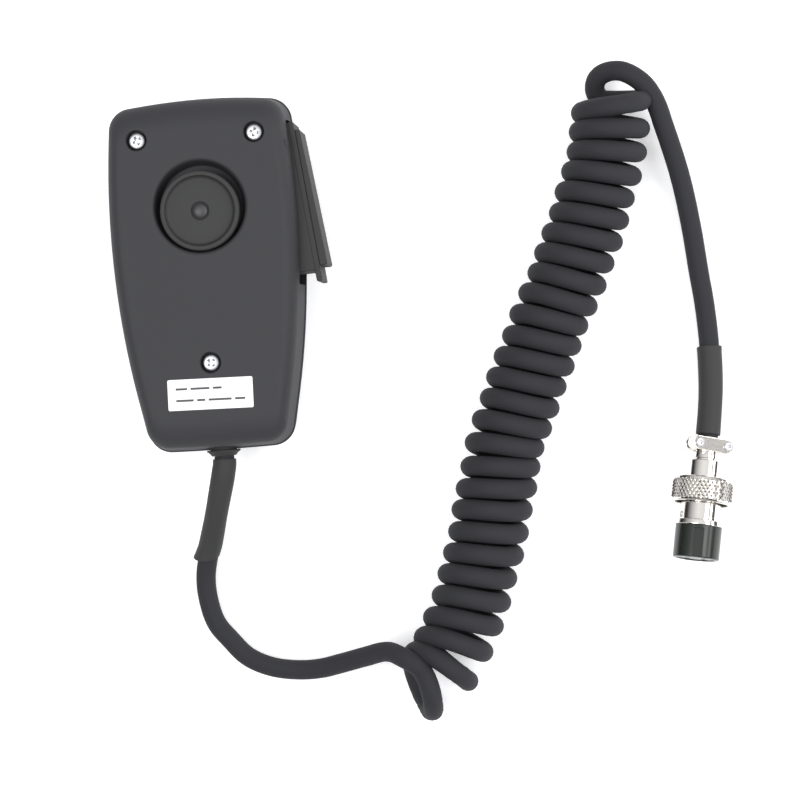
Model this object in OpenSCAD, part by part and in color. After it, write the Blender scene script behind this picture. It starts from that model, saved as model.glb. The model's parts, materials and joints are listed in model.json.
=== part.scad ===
// Hand microphone with a push-to-talk lever, a curly cord and a four-pole screw plug.
// Millimetres. It lies on its front face: +Y runs to the head, +X to the push-to-talk side,
// +Z out of the rear cover. The origin is under the middle of the handset, on the table.

/* [Housing] */
// Length of the housing, cord end to head
body_len = 105; // [98:1:126]
// Width of the housing at its widest place
body_w = 58; // [54:1:70]
// Depth of the front shell, which is also the height of the seam
front_depth = 19.5; // [19:0.1:24]
// Depth of the rear cover above the seam
rear_depth = 16.5; // [15:0.5:20]
// Thickness of the moulded walls
wall = 2; // [1.6:0.1:2.4]
// Corner radius of the outline
corner_r = 7; // [5:0.5:9]
// Radius of the bowed long sides
side_bow = 265; // [240:5:400]
// Distance of the widest place from the middle, towards the head
widest_y = 14.5; // [8:0.5:20]
// How far the head edge is crowned
top_crown = 2.5; // [1:0.5:4]
// Step between the front shell and the rear cover at the seam
seam_step = 0.4; // [0.2:0.1:0.6]

/* [Rear cover rounding] */
// Inset of the flat rear face from the long sides
side_round = 5.3; // [4:0.1:7]
// Inset of the flat rear face from the head and cord ends
end_round = 10.5; // [8:0.5:12]
// Height over which the rear cover is rounded
round_h = 7; // [5:0.5:8]

/* [Fasteners] */
// Head diameter of the housing screws
screw_head_d = 4.5; // [4:0.1:5]
// Thread diameter of the housing screws
screw_d = 2.6; // [2.2:0.1:3]
// Diameter of the wells that the housing screws sit in
well_d = 6.1; // [5.6:0.1:6.6]
// Depth of the wells
well_depth = 3.5; // [3:0.1:4.5]
// Half the distance between the two upper screws
upper_screw_x = 17.4; // [15:0.2:19]
// Distance of the upper screws from the middle
upper_screw_y = 40; // [38:0.5:41]
// Distance of the lower screw from the middle, towards the cord
lower_screw_y = 26.7; // [24:0.1:28]
// Thread diameter of the small inner screws
small_screw_d = 2; // [1.6:0.1:2.2]

/* [Hang button] */
// Diameter of the recess around the button
recess_d = 27.8; // [27:0.2:30]
// Depth of the recess
recess_depth = 6; // [5:0.5:7]
// Distance of the recess from the middle of the housing
recess_y = 19.3; // [17:0.1:21]
// Diameter of the button
button_d = 23.5; // [21:0.5:24]
// Width of the raised lip of the button
button_lip = 1.75; // [1.2:0.05:2.4]
// Distance of the button from the middle of the housing
button_y = 18; // [17:0.1:19]
// Diameter of the domed screw in the button
button_screw_d = 4.5; // [4:0.1:5]

/* [Push-to-talk lever] */
// Width of the lever across the seam
lever_w = 17; // [15:0.5:18]
// Gap between the lever and its slot, each side
lever_gap = 0.4; // [0.3:0.1:0.6]
// How far the grip stands out past the housing at rest
grip_reach = 6.7; // [5.5:0.1:8]
// Thickness of the lever's outer plate
plate_t = 1.7; // [1.4:0.1:2]
// Diameter of the pivot pin
pivot_d = 2; // [1.6:0.1:2.4]
// Travel of the lever in degrees
lever_travel = 4; // [2:0.5:4]

/* [Microphone capsule] */
// Diameter of the capsule
capsule_d = 26; // [24:0.5:27]
// Distance of the capsule and grille from the middle of the housing
capsule_y = 20; // [19:0.5:21]
// Width of the grille slots
slot_w = 1.6; // [1:0.1:2]
// Distance from one grille slot to the next
slot_pitch = 3.2; // [2.8:0.1:4]

/* [Cord] */
// Diameter of the cord's jacket
cord_d = 6; // [5:0.1:6.5]
// Outer diameter of the curly part
curl_d = 24; // [20:0.5:24]
// Outer diameter of the shrink sleeve at the handset
sleeve_d = 7; // [6.8:0.1:7.6]
// Outer diameter of the shrink sleeve at the plug
plug_sleeve_d = 7.4; // [6.8:0.1:8]

/* [Plug] */
// Diameter of the locking ring
ring_d = 18.5; // [17.5:0.1:20]
// Length of the locking ring
ring_len = 7.6; // [6.5:0.1:9]
// Diameter of the front shell
shell_d = 12; // [11.6:0.1:12.4]
// Diameter of the insulating barrel
barrel_d = 13.8; // [13.4:0.1:14]
// Length of the insulating barrel
barrel_len = 9.8; // [8:0.1:11]
// Pitch circle of the four contacts
contact_pcd = 7; // [6.4:0.1:7.4]

/* [Hidden] */

$fn = 64;
eps = 0.01;
fit = 0.05;            // radial clearance of a piece that is held still in a bore
run = 0.06;            // radial clearance of a pin that turns in a bore
black = "#1c1c1e";
soft_black = "#232325";
nickel = "#c9c6bf";
steel = "#b9bcc0";
brass = "#b8954a";

// Housing levels and places
seam_z = front_depth;
rear_z = front_depth + rear_depth;
origin_x = -grip_reach / 2;
half_len = body_len / 2;
draft = 1.2;           // inset of the walls where their rounding starts
bottom_crown = 0.6;
front_side_round = 5;
front_end_round = 7;
front_round_h = 8;
arc_steps = 5;
side_steps = 7;

// Screws of the housing
well_floor = rear_z - well_depth;
well_web = 2.2;        // floor of a screw well
screw_tip = well_floor - 12;
boss_top = well_floor - well_web - 0.1;
boss_r = 3.6;
screw_places = [[-upper_screw_x, upper_screw_y], [upper_screw_x, upper_screw_y], [0, -lower_screw_y]];

// Hang button
recess_floor = rear_z - recess_depth;
recess_slope = 1.3;    // how much narrower the recess is at its floor
button_top = rear_z + 0.8;
button_under = recess_floor + 3;
button_sink = 0.8;     // depth of the button's face below its lip
stem_r = 6;
button_well_r = button_screw_d / 2 + 0.35;
button_well = 1.2;
button_boss_z = recess_floor - 10;

// Push-to-talk lever, seen from the rear: the plate leans out towards the cord end
pivot = [body_w / 2 - 4.8, 36];
lever_top_y = 42.8;
lever_end_y = -1.5;
lip_end_y = -4.8;
plate_top_x = body_w / 2 - 0.6;
plate_slope = 0.1155;
grip_top_y = 40.4;
grip_end_y = -0.1;
grip_x = body_w / 2 + grip_reach;
grip_w = lever_w - 1;
side_t = 1.5;
eye_r = 2.3;
eye_t = 3;
lever_z0 = seam_z - lever_w / 2;
lever_z1 = seam_z + lever_w / 2;
slot_y0 = lip_end_y - 0.5;
slot_y1 = lever_top_y + 0.8;
slot_x = body_w / 2 - 8;
pin_z0 = lever_z0 - 4.4;
pin_z1 = lever_z1 + 2;
lever_in_top = pivot[0] - 2;
lever_in_end = half_w(lever_end_y) - 5.4;
stop_gap = 0.35;

// Switch behind the lever, and the lever's return spring
press_y = 3;
press_x = body_w / 2 - 9.5;
press_gap = 0.2;
plunger_r = 1.4;
plunger_stroke = (pivot[1] - press_y) * sin(lever_travel);
plunger_len = 2.5 + plunger_stroke;
switch_x0 = press_x - press_gap - 11.8;
switch_x1 = press_x - press_gap - 2.8;
switch_len = 11;
switch_t = 6;
switch_hole_x = switch_x0 + 4;
switch_hole_dy = 3.9;
spring_y = 22;
spring_r = 2.5;
spring_wire = 0.6;
spring_x0 = body_w / 2 - 8.7;
spring_x1 = plate_x(spring_y) - plate_t - 0.5;

// Capsule stack, from the grille inwards
dish_r = capsule_d / 2 + 4;
dish_depth = 0.8;
cloth_t = 0.6;
boot_t = 1;
can_h = 5.6;
pot_r = 9;
pot_top = wall + 0.2 + cloth_t + can_h + 5.6;
floor_z = wall + 0.2;
rib_r = capsule_d / 2 + boot_t + 0.1;
post_r = 2.4;
post_dy = rib_r + 3.1;
bar_t = 1.2;

// Cord entry
gland_r = 5.1;
gland_neck_r = 4;
gland_nose = 1.9;
cord_r = cord_d / 2;
entry_y = -34;
clamp_y = -40;
clamp_w = 4;
clamp_x = 6.8;
exit_y = -half_len - gland_nose;

// Cord route on the table, from the gland to the curl, and from the curl to the plug
lead_route = [[-4, -59.5, 19], [-7, -69.5, 15], [-9.5, -77, 10.5], [-12, -84.5, 6.5], [-13.5, -90.5, 4.2],
    [-13.5, -97, 3.2], [-11.5, -105, 3], [-7.5, -110.5, 3], [-2.5, -116, 3], [4.5, -119.5, 3],
    [12.5, -121, 3], [19.5, -120.9, 4], [26, -119.6, 6.2], [33.5, -117.8, 10.2], [41, -116.3, 15],
    [45.5, -117.9, 18.6]];
curl_route = [[44, -127.3, 12], [50.4, -126.3, 12], [54.8, -123.7, 12], [57.8, -120.5, 12], [61.4, -114.8, 12],
    [65, -107, 12], [70, -94, 12], [75, -77, 12], [80, -58, 12], [88, -39, 12], [96, -21, 12],
    [104.5, -4, 12], [111.5, 13, 12], [116.5, 27.5, 12], [119, 40, 12], [119, 44, 12]];
tail_route = [[115.8, 45, 3.5], [114.5, 48, 5.4], [115.7, 50.9, 7.6], [118.7, 52.2, 9.6], [123.2, 51.7, 12],
    [128.6, 48, 12], [132, 42.5, 11], [134.4, 34.5, 9], [138.1, 20, 5], [140.4, 5, 3.5], [141.8, -9.5, 3],
    [142.7, -18, 3.1], [143.2, -26.5, 3.6], [143.3, -32, 4.1], [142.8, -45, 5.4]];

// Plug, along its own axis from the cord clamp to the nose
plug_yaw = -10;
plug_pitch = 8;
ring_z0 = 12.6;
ring_r = ring_d / 2;
ring_chamfer = 0.5;
ring_lip = 1.8;
ring_slack = 0.25;
cavity_r = ring_r - 1.35;
plug_at = [140.9, -59, ring_r * cos(plug_pitch) - (ring_z0 + ring_chamfer) * sin(plug_pitch)];
clamp_roll = -25;
saddle_len = 4.2;
saddle_z = 0.4;
ear_x = 4.7;
jaw_gap = 0.5;
jaw_y = 4.4;
jaw_screw_r = 0.75;
neck_r = 3.9;
neck_z = saddle_z + saddle_len;
rear_shell_r = shell_d / 2 - 0.9;
rear_shell_z = 7.3;
front_shell_z = 13;
flange_z = 25.5;
flange_r = shell_d / 2 + 1.4;
barrel_z = flange_z + 1.5;
barrel_r = barrel_d / 2;
nose_z = barrel_z + barrel_len;
key_w = 3;
key_depth = 0.7;
contact_r = 1.2;
contact_bore = 0.8;
rear_shell_len = 10;
cup_z = rear_shell_z + rear_shell_len + 0.2;
cord_in_plug = 6;
set_screw_z = 24;
set_screw_roll = 160;

// ---------------------------------------------------------------- outline of the housing

// Half the width of the housing at a distance y from its middle
function half_w(y) = body_w / 2 - side_bow + sqrt(side_bow * side_bow - pow(y - widest_y, 2));

// Where the outer face of the lever's plate stands at y
function plate_x(y) = plate_top_x + (lever_top_y - y) * plate_slope;

// One corner: its centre and its first angle, for the head end (s = 1) or the cord end (s = -1)
function crown(s) = s > 0 ? top_crown : bottom_crown;
function end_y(s, b, x) = s * (half_len - b) - s * crown(s) * pow(x / (body_w / 2), 2);
function corner_at(s, a, b, r) =
    let (x0 = body_w / 2 - a - r - (s > 0 ? 1.5 : 7), y = end_y(s, b, x0) - s * r) [half_w(y) - a - r, y];
function side_angle(y) = asin((y - widest_y) / side_bow);

// Right half of the outline from the cord end to the head, inset by a at the sides and b at the ends
function right_half(a, b) =
    let (r = max(corner_r - 0.3 * a, 2), lo = corner_at(-1, a, b, r), hi = corner_at(1, a, b, r),
        lo_a = side_angle(lo[1]), hi_a = side_angle(hi[1]), top_a = 83)
    concat(
        [for (k = [0 : 2]) let (x = lo[0] * k / 3) [x, end_y(-1, b, x)]],
        [for (k = [0 : arc_steps]) let (t = -88 + (88 + lo_a) * k / arc_steps)
            [lo[0] + r * cos(t), lo[1] + r * sin(t)]],
        [for (k = [1 : side_steps - 1]) let (y = lo[1] + (hi[1] - lo[1]) * k / side_steps)
            [half_w(y) - a, y]],
        [for (k = [0 : arc_steps]) let (t = hi_a + (top_a - hi_a) * k / arc_steps)
            [hi[0] + r * cos(t), hi[1] + r * sin(t)]],
        [for (k = [2 : -1 : 0]) let (x = hi[0] * k / 3) [x, end_y(1, b, x)]]);

module outline(a, b) {
    right = right_half(a, b);
    left = [for (k = [len(right) - 2 : -1 : 1]) [-right[k][0], right[k][1]]];
    polygon(concat(right, left));
}

module layer(z, a, b) {
    translate([0, 0, z]) linear_extrude(eps) outline(a, b);
}

// Outer form of the rear cover, or with inset w the space inside its walls
module cover_form(w) {
    hull() {
        layer(seam_z - (w > 0 ? eps : 0), seam_step + w, seam_step + w);
        for (k = [0 : 6])
            layer(rear_z - round_h + (round_h - w) * sin(15 * k) - eps,
                draft + w + (side_round - draft) * (1 - cos(15 * k)),
                draft + w + (end_round - draft) * (1 - cos(15 * k)));
    }
}

// Outer form of the front shell, or with inset w the space inside its walls
module front_form(w) {
    hull() {
        layer(seam_z - (w > 0 ? 0 : eps), w, w);
        for (k = [0 : 6])
            layer(front_round_h - (front_round_h - (w > 0 ? floor_z : 0)) * sin(15 * k),
                draft + w + (front_side_round - draft) * (1 - cos(15 * k)),
                draft + w + (front_end_round - draft) * (1 - cos(15 * k)));
    }
}

module placed() {
    translate([origin_x, 0, 0]) children();
}

module at_screws(z) {
    for (p = screw_places) translate([p[0], p[1], z]) children();
}

// Opening in the right-hand wall for the lever
module lever_slot() {
    h = lever_w + 2 * lever_gap;
    translate([slot_x, slot_y0, seam_z - h / 2]) cube([20, slot_y1 - slot_y0, h]);
}

module gland_hole() {
    translate([0, -half_len - 1, seam_z]) rotate([-90, 0, 0]) cylinder(r = gland_neck_r + fit, h = 6);
}

// ---------------------------------------------------------------- housing

module front_shell() {
    color(black) placed() difference() {
        union() {
            difference() {
                front_form(0);
                front_form(wall);
            }
            at_screws(1) cylinder(r = boss_r, h = boss_top - 1);
            capsule_seat();
            pivot_boss(lever_z0 - 5.7, 5.4);
            switch_posts();
            spring_post();
            cord_cradle();
        }
        at_screws(screw_tip - 1) cylinder(r = screw_d / 2, h = 40);
        translate([0, 0, pin_z0]) pivot_hole(pin_z1 - pin_z0);
        translate([0, capsule_y, -1]) cylinder(r = dish_r, h = 1 + dish_depth);
        grille_slots();
        retainer_holes();
        lever_slot();
        gland_hole();
    }
}

module capsule_seat() {
    translate([0, capsule_y, floor_z - eps]) difference() {
        cylinder(r = rib_r + 1.2, h = 4.6);
        translate([0, 0, -1]) cylinder(r = rib_r, h = 7);
    }
    for (s = [-1, 1]) translate([0, capsule_y + s * post_dy, dish_depth + 0.4])
        cylinder(r = post_r, h = pot_top - dish_depth - 0.4);
}

module retainer_holes() {
    for (s = [-1, 1]) translate([0, capsule_y + s * post_dy, pot_top - 6])
        cylinder(d = small_screw_d, h = 10, $fn = 32);
}

module grille_slots() {
    reach = capsule_d / 2 - 1;
    for (k = [-3 : 3]) {
        half = sqrt(reach * reach - pow(k * slot_pitch, 2));
        translate([-half, capsule_y + k * slot_pitch - slot_w / 2, -1]) cube([2 * half, slot_w, floor_z + 2]);
    }
}

module pivot_boss(z, h) {
    translate([pivot[0], pivot[1], z]) cylinder(r = eye_r + 0.1, h = h);
}

module pivot_hole(h) {
    translate([pivot[0], pivot[1], 0]) cylinder(d = pivot_d, h = h, $fn = 32);
}

module switch_posts() {
    for (s = [-1, 1]) translate([switch_hole_x, press_y + s * switch_hole_dy, 1]) difference() {
        cylinder(r = 2.2, h = seam_z - switch_t / 2 - 1);
        translate([0, 0, 6]) cylinder(d = small_screw_d, h = 20, $fn = 32);
    }
}

module spring_post() {
    translate([spring_x0 - 1.8, spring_y - 3, 1]) cube([1.8, 6, seam_z + 2.5]);
}

module cord_cradle() {
    difference() {
        union() {
            translate([-5, clamp_y - clamp_w / 2, 1]) cube([10, clamp_w, seam_z - 1.5]);
            for (s = [-1, 1]) translate([s * clamp_x, clamp_y, 1]) cylinder(r = 2.2, h = seam_z - 1);
        }
        translate([0, clamp_y - 5, seam_z]) rotate([-90, 0, 0]) cylinder(r = cord_r + fit, h = 10);
        for (s = [-1, 1]) translate([s * clamp_x, clamp_y, seam_z - 7])
            cylinder(d = small_screw_d, h = 20, $fn = 32);
    }
}

module rear_cover() {
    color(black) placed() difference() {
        union() {
            difference() {
                cover_form(0);
                cover_form(wall);
            }
            tongue();
            translate([0, recess_y, recess_floor - 2]) cylinder(r = recess_d / 2 + 1.6, h = recess_depth + 1);
            translate([0, button_y, button_boss_z]) cylinder(r = 3.2, h = recess_floor - button_boss_z - 1);
            at_screws(well_floor - well_web) cylinder(r = well_d / 2 + 1.1, h = well_web + well_depth - 1.5);
            pivot_boss(lever_z1 + 0.3, rear_z - lever_z1 - 5.5);
        }
        translate([0, recess_y, recess_floor]) button_recess();
        translate([0, button_y, button_boss_z - 1]) cylinder(d = screw_d, h = 20);
        at_screws(well_floor) cylinder(d = well_d, h = 10);
        at_screws(0) cylinder(r = screw_d / 2 + 0.2, h = 50);
        translate([0, 0, pin_z0]) pivot_hole(pin_z1 - pin_z0);
        lever_slot();
        gland_hole();
    }
}

// Recess around the hang button, with a sloped wall and a softened rim
module button_recess() {
    r = recess_d / 2;
    rotate_extrude($fn = 96) polygon([[0, 0], [r - recess_slope, 0], [r - 0.45, recess_depth - 0.9],
        [r - 0.1, recess_depth - 0.3], [r + 0.5, recess_depth + eps], [r + 0.5, recess_depth + 2],
        [0, recess_depth + 2]]);
}

// Rib of the rear cover that reaches into the front shell, left out beside the lever and the gland
module tongue() {
    outer = wall + 0.35;
    difference() {
        translate([0, 0, seam_z - 1.5]) linear_extrude(3.5) difference() {
            outline(outer, outer);
            outline(outer + 0.9, outer + 0.9);
        }
        translate([slot_x, slot_y0 - 6, seam_z - 5]) cube([20, slot_y1 - slot_y0 + 8, 10]);
        translate([-gland_r - 1, -half_len, seam_z - 5]) cube([2 * gland_r + 2, 8, 10]);
    }
}

// Pan head with a cross recess and a plain shank, head seated at z = 0
module cross_screw(head_d, head_h, shank_d, shank_len, bite = 0) {
    r = head_d / 2;
    difference() {
        rotate_extrude($fn = 48) polygon(concat(
            [[0, -shank_len], [shank_d / 2 - 0.3, -shank_len], [shank_d / 2, -shank_len + 0.8],
            [shank_d / 2, 0], [r, 0], [r, head_h * 0.35]],
            [for (t = [20 : 20 : 80]) [r * cos(t), head_h * (0.35 + 0.65 * sin(t))]],
            [[0, head_h]]));
        if (bite > 0) for (a = [0, 90]) rotate([0, 0, a])
            translate([-r * 0.55, -r * 0.11, head_h - bite]) cube([r * 1.1, r * 0.22, bite + 1]);
    }
}

module housing_screws() {
    color(nickel) placed() at_screws(well_floor) cross_screw(screw_head_d, 1.8, screw_d, 12, 1);
}

module hang_button() {
    r = button_d / 2;
    color(black) placed() translate([0, button_y, 0]) rotate_extrude($fn = 96) polygon([
        [screw_d / 2 + 0.2, recess_floor], [stem_r, recess_floor], [stem_r, button_under],
        [r - 0.5, button_under], [r, button_under + 0.5], [r, button_top - 0.5],
        [r - 0.2, button_top - 0.15], [r - 0.6, button_top], [r - button_lip + 0.5, button_top],
        [r - button_lip + 0.15, button_top - 0.15], [r - button_lip, button_top - button_sink],
        [button_well_r, button_top - button_sink],
        [button_well_r, button_top - button_sink - button_well],
        [screw_d / 2 + 0.2, button_top - button_sink - button_well]]);
}

module hang_button_screw() {
    seat = button_top - button_sink - button_well;
    color("#2a2a2c") placed() translate([0, button_y, seat])
        cross_screw(button_screw_d, button_well, screw_d, seat - button_boss_z - 1);
}

module rear_label() {
    color("white") placed() translate([-0.6, -35.8, rear_z]) rotate([0, 0, -1.2])
        translate([-12.6, -4.55, 0]) cube([25.2, 9.1, 0.12]);
}

// ---------------------------------------------------------------- microphone capsule

module grille_cloth() {
    color(soft_black) placed() translate([0, capsule_y, floor_z]) cylinder(r = rib_r - 0.1, h = cloth_t);
}

module capsule_boot() {
    color(soft_black) placed() translate([0, capsule_y, floor_z + cloth_t]) difference() {
        cylinder(r = capsule_d / 2 + boot_t, h = can_h);
        translate([0, 0, -1]) cylinder(d = capsule_d, h = can_h + 2);
    }
}

module microphone_capsule() {
    color(steel) placed() translate([0, capsule_y, floor_z + cloth_t]) {
        difference() {
            union() {
                cylinder(d = capsule_d, h = can_h);
                cylinder(r = pot_r, h = pot_top - floor_z - cloth_t);
            }
            for (a = [0 : 60 : 300]) rotate([0, 0, a]) translate([7, 0, -1]) cylinder(d = 2, h = 2.5);
            translate([0, 0, -1]) cylinder(d = 2, h = 2.5);
        }
    }
}

module capsule_retainer() {
    len = 2 * post_dy + 5;
    color(steel) placed() translate([0, capsule_y, pot_top]) difference() {
        translate([-3.5, -len / 2, 0]) cube([7, len, bar_t]);
        for (s = [-1, 1]) translate([0, s * post_dy, -1]) cylinder(d = small_screw_d + 0.4, h = 4, $fn = 32);
    }
}

module retainer_screws() {
    color(steel) placed() for (s = [-1, 1]) translate([0, capsule_y + s * post_dy, pot_top + bar_t])
        cross_screw(3.8, 1.3, small_screw_d, 6, 0.7);
}

// ---------------------------------------------------------------- push-to-talk lever

module ptt_pivot_pin() {
    color(steel) placed() translate([0, 0, pin_z0]) pivot_hole(pin_z1 - pin_z0);
}

// Plan of the lever: the closed wedge, and the plate with its lip
module wedge_plan() {
    polygon([[lever_in_top, lever_top_y - 1.2], [plate_x(lever_top_y), lever_top_y],
        [plate_x(lever_end_y), lever_end_y], [lever_in_end, lever_end_y - 0.4]]);
}

module plate_plan() {
    polygon([[plate_x(lever_top_y) - plate_t, lever_top_y], [plate_x(lever_top_y), lever_top_y],
        [plate_x(lip_end_y), lip_end_y], [plate_x(lip_end_y) - plate_t, lip_end_y]]);
}

module ptt_lever() {
    color(black) placed() difference() {
        union() {
            difference() {
                translate([0, 0, lever_z0]) linear_extrude(lever_w) wedge_plan();
                translate([0, 0, lever_z0 + side_t]) linear_extrude(lever_w - 2 * side_t) polygon([
                    [slot_x - 5, lever_top_y - 2.6], [plate_x(lever_top_y) - plate_t, lever_top_y - 2.6],
                    [plate_x(lever_end_y) - plate_t, lever_end_y + side_t],
                    [slot_x - 5, lever_end_y + side_t]]);
            }
            translate([0, 0, lever_z0]) linear_extrude(lever_w) plate_plan();
            for (z = [lever_z0, lever_z1 - eye_t]) translate([pivot[0], pivot[1], z])
                cylinder(r = eye_r, h = eye_t);
            translate([press_x, press_y - 1.2, seam_z - 2])
                cube([plate_x(press_y) - plate_t / 2 - press_x, 2.4, 4]);
            stop_lug();
        }
        translate([pivot[0], pivot[1], 0]) cylinder(r = pivot_d / 2 + run, h = 60, $fn = 32);
    }
}

// Lug inside the housing that holds the lever against its spring
module stop_lug() {
    x1 = half_w(lever_end_y - 4.4) - wall - seam_step - stop_gap;
    translate([lever_in_end, lever_end_y - 4.4, seam_z - 3]) cube([x1 - lever_in_end, 6, 6]);
}

module ptt_grip_plate() {
    out_top = plate_x(grip_top_y) + 1.5;
    color(black) placed() translate([0, 0, seam_z - grip_w / 2]) linear_extrude(grip_w) polygon([
        [plate_x(grip_top_y), grip_top_y], [out_top - 0.5, grip_top_y], [out_top, grip_top_y - 0.5],
        [grip_x, grip_end_y + 0.7], [grip_x - 0.4, grip_end_y], [plate_x(grip_end_y), grip_end_y]]);
}

module ptt_return_spring() {
    color(steel) placed() translate([spring_x0, spring_y, seam_z]) rotate([0, 90, 0]) difference() {
        cylinder(r = spring_r, h = spring_x1 - spring_x0, $fn = 32);
        translate([0, 0, -1]) cylinder(r = spring_r - spring_wire, h = spring_x1 - spring_x0 + 2, $fn = 32);
    }
}

module switch_body() {
    color("#3a3f45") placed() difference() {
        translate([switch_x0, press_y - switch_len / 2, seam_z - switch_t / 2])
            cube([switch_x1 - switch_x0, switch_len, switch_t]);
        for (s = [-1, 1]) translate([switch_hole_x, press_y + s * switch_hole_dy, 0])
            cylinder(d = small_screw_d + 0.2, h = 40, $fn = 32);
        translate([press_x - press_gap - plunger_len - plunger_stroke - 0.3, press_y, seam_z])
            rotate([0, 90, 0]) cylinder(r = plunger_r + run, h = 20, $fn = 32);
    }
}

module switch_plunger() {
    tip = press_x - press_gap;
    color("white") placed() translate([tip - plunger_len, press_y, seam_z]) rotate([0, 90, 0])
        cylinder(r = plunger_r, h = plunger_len, $fn = 32);
}

module switch_terminals() {
    color(brass) placed() for (k = [-1 : 1])
        translate([switch_x0 - 2.4, press_y + 3.4 * k - 0.9, seam_z - 0.25]) cube([2.4, 1.8, 0.5]);
}

module switch_screws() {
    color(steel) placed() for (s = [-1, 1])
        translate([switch_hole_x, press_y + s * switch_hole_dy, seam_z + switch_t / 2])
            cross_screw(3.6, 1.2, small_screw_d, 12, 0.6);
}

// ---------------------------------------------------------------- cord entry

module cord_clamp() {
    color(steel) placed() translate([0, clamp_y + clamp_w / 2, seam_z]) rotate([90, 0, 0]) difference() {
        union() {
            cylinder(r = cord_r + 1, h = clamp_w);
            translate([-clamp_x - 2.2, 0, 0]) cube([2 * clamp_x + 4.4, 1, clamp_w]);
        }
        translate([0, 0, -1]) cylinder(r = cord_r + fit, h = clamp_w + 2);
        translate([-20, -20, -1]) cube([40, 20, clamp_w + 2]);
        for (s = [-1, 1]) translate([s * clamp_x, -1, clamp_w / 2]) rotate([-90, 0, 0])
            cylinder(d = small_screw_d + 0.3, h = 4, $fn = 32);
    }
}

module cord_clamp_screws() {
    color(steel) placed() for (s = [-1, 1]) translate([s * clamp_x, clamp_y, seam_z + 1])
        cross_screw(3.8, 1.3, small_screw_d, 7, 0.7);
}

module cord_gland() {
    color(soft_black) placed() translate([0, -half_len, seam_z]) rotate([-90, 0, 0])
        rotate_extrude() polygon([
            [cord_r + fit, -gland_nose], [cord_r + 0.45, -gland_nose], [cord_r + 0.75, -gland_nose + 0.5],
            [gland_r - 0.5, -0.6], [gland_r, -0.45], [gland_r, -fit], [gland_neck_r, -fit],
            [gland_neck_r, wall + 1], [gland_r, wall + 1], [gland_r, wall + 2.8],
            [cord_r + fit, wall + 2.8]]);
}

module cord_entry() {
    color(soft_black) placed() translate([0, exit_y, seam_z]) rotate([-90, 0, 0])
        cylinder(r = cord_r, h = entry_y - exit_y);
}

// Thin insulated wires from the end of the cord to the switch and the capsule
module inner_wires() {
    r = 0.5;
    tag_x = switch_x0 - 2.4;
    color("#7a2f2a") placed() {
        for (k = [-1 : 1]) tube([[1.2 * k, entry_y, seam_z], [5.2 + 0.4 * k, entry_y + 4, seam_z],
            [6.5 + 1.4 * k, -20, seam_z + 1], [5 + 1.4 * k, -8, seam_z],
            [tag_x - 1.5, press_y + 3.4 * k, seam_z], [tag_x, press_y + 3.4 * k, seam_z]], r, 6);
        for (s = [-1, 1]) tube([[-1.6, entry_y, seam_z + s], [-5.5, entry_y + 4, seam_z + s],
            [-7.5, -18, seam_z - 2 + s], [-6 + s, 4, pot_top + 1.4], [-6 + 2 * s, capsule_y - 5, pot_top + 1],
            [-6 + 2 * s, capsule_y - 3, pot_top]], r, 6);
    }
}

// ---------------------------------------------------------------- cord

function unit(v) = v / norm(v);

// Direction of a route at its point k
function heading(p, k) = k == 0 ? unit(p[1] - p[0])
    : k == len(p) - 1 ? unit(p[k] - p[k - 1])
    : unit(unit(p[k] - p[k - 1]) + unit(p[k + 1] - p[k]));

// Points around a route, one ring of n points for each of its points
function rings(p, r, n) = [for (k = [0 : len(p) - 1])
    let (d = heading(p, k), side = unit(cross(d, [0, 0, 1])), up = cross(side, d))
    for (j = [0 : n - 1]) p[k] + r * (cos(360 * j / n) * side + sin(360 * j / n) * up)];

function bands(m, n, at, flip) = [for (k = [0 : m - 2], j = [0 : n - 1])
    let (a = at + k * n + j, b = at + k * n + (j + 1) % n)
    flip ? [a, a + n, b + n, b] : [a, b, b + n, a + n]];

// Solid round tube along a route
module tube(p, r, n) {
    m = len(p);
    polyhedron(rings(p, r, n), concat(bands(m, n, 0, false),
        [[for (j = [n - 1 : -1 : 0]) j], [for (j = [0 : n - 1]) (m - 1) * n + j]]), 4);
}

// Sleeve of outer radius r on a cord of radius r_in
module sleeve(p, r, r_in, n) {
    m = len(p);
    inner = m * n;
    ends = [for (j = [0 : n - 1]) let (i = (j + 1) % n) each [
        [j, inner + j, inner + i, i],
        [(m - 1) * n + i, inner + (m - 1) * n + i, inner + (m - 1) * n + j, (m - 1) * n + j]]];
    polyhedron(concat(rings(p, r, n), rings(p, r_in, n)),
        concat(bands(m, n, 0, false), bands(m, n, inner, true), ends), 4);
}

function part_of(p, a, b) = [for (k = [a : b]) p[k]];

lead_points = concat([[origin_x, exit_y, seam_z], [origin_x, exit_y - 2, seam_z]], lead_route);
plug_dir = [sin(plug_yaw) * cos(plug_pitch), -cos(plug_yaw) * cos(plug_pitch), sin(plug_pitch)];
tail_points = concat(tail_route, [plug_at, plug_at + cord_in_plug * plug_dir]);

module cord_lead() {
    color(soft_black) tube(lead_points, cord_r, 10);
}

module handset_sleeve() {
    color(soft_black) sleeve(part_of(lead_points, 0, 5), sleeve_d / 2, cord_r, 10);
}

module cord_curl() {
    color(soft_black) tube(curl_route, curl_d / 2, 12);
}

module cord_tail() {
    color(soft_black) tube(tail_points, cord_r, 10);
}

module plug_sleeve() {
    color(soft_black) sleeve(part_of(tail_points, len(tail_points) - 4, len(tail_points) - 2),
        plug_sleeve_d / 2, cord_r, 10);
}

// ---------------------------------------------------------------- plug

module at_plug() {
    translate(plug_at) rotate([90 - plug_pitch, 0, plug_yaw]) children();
}

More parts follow.
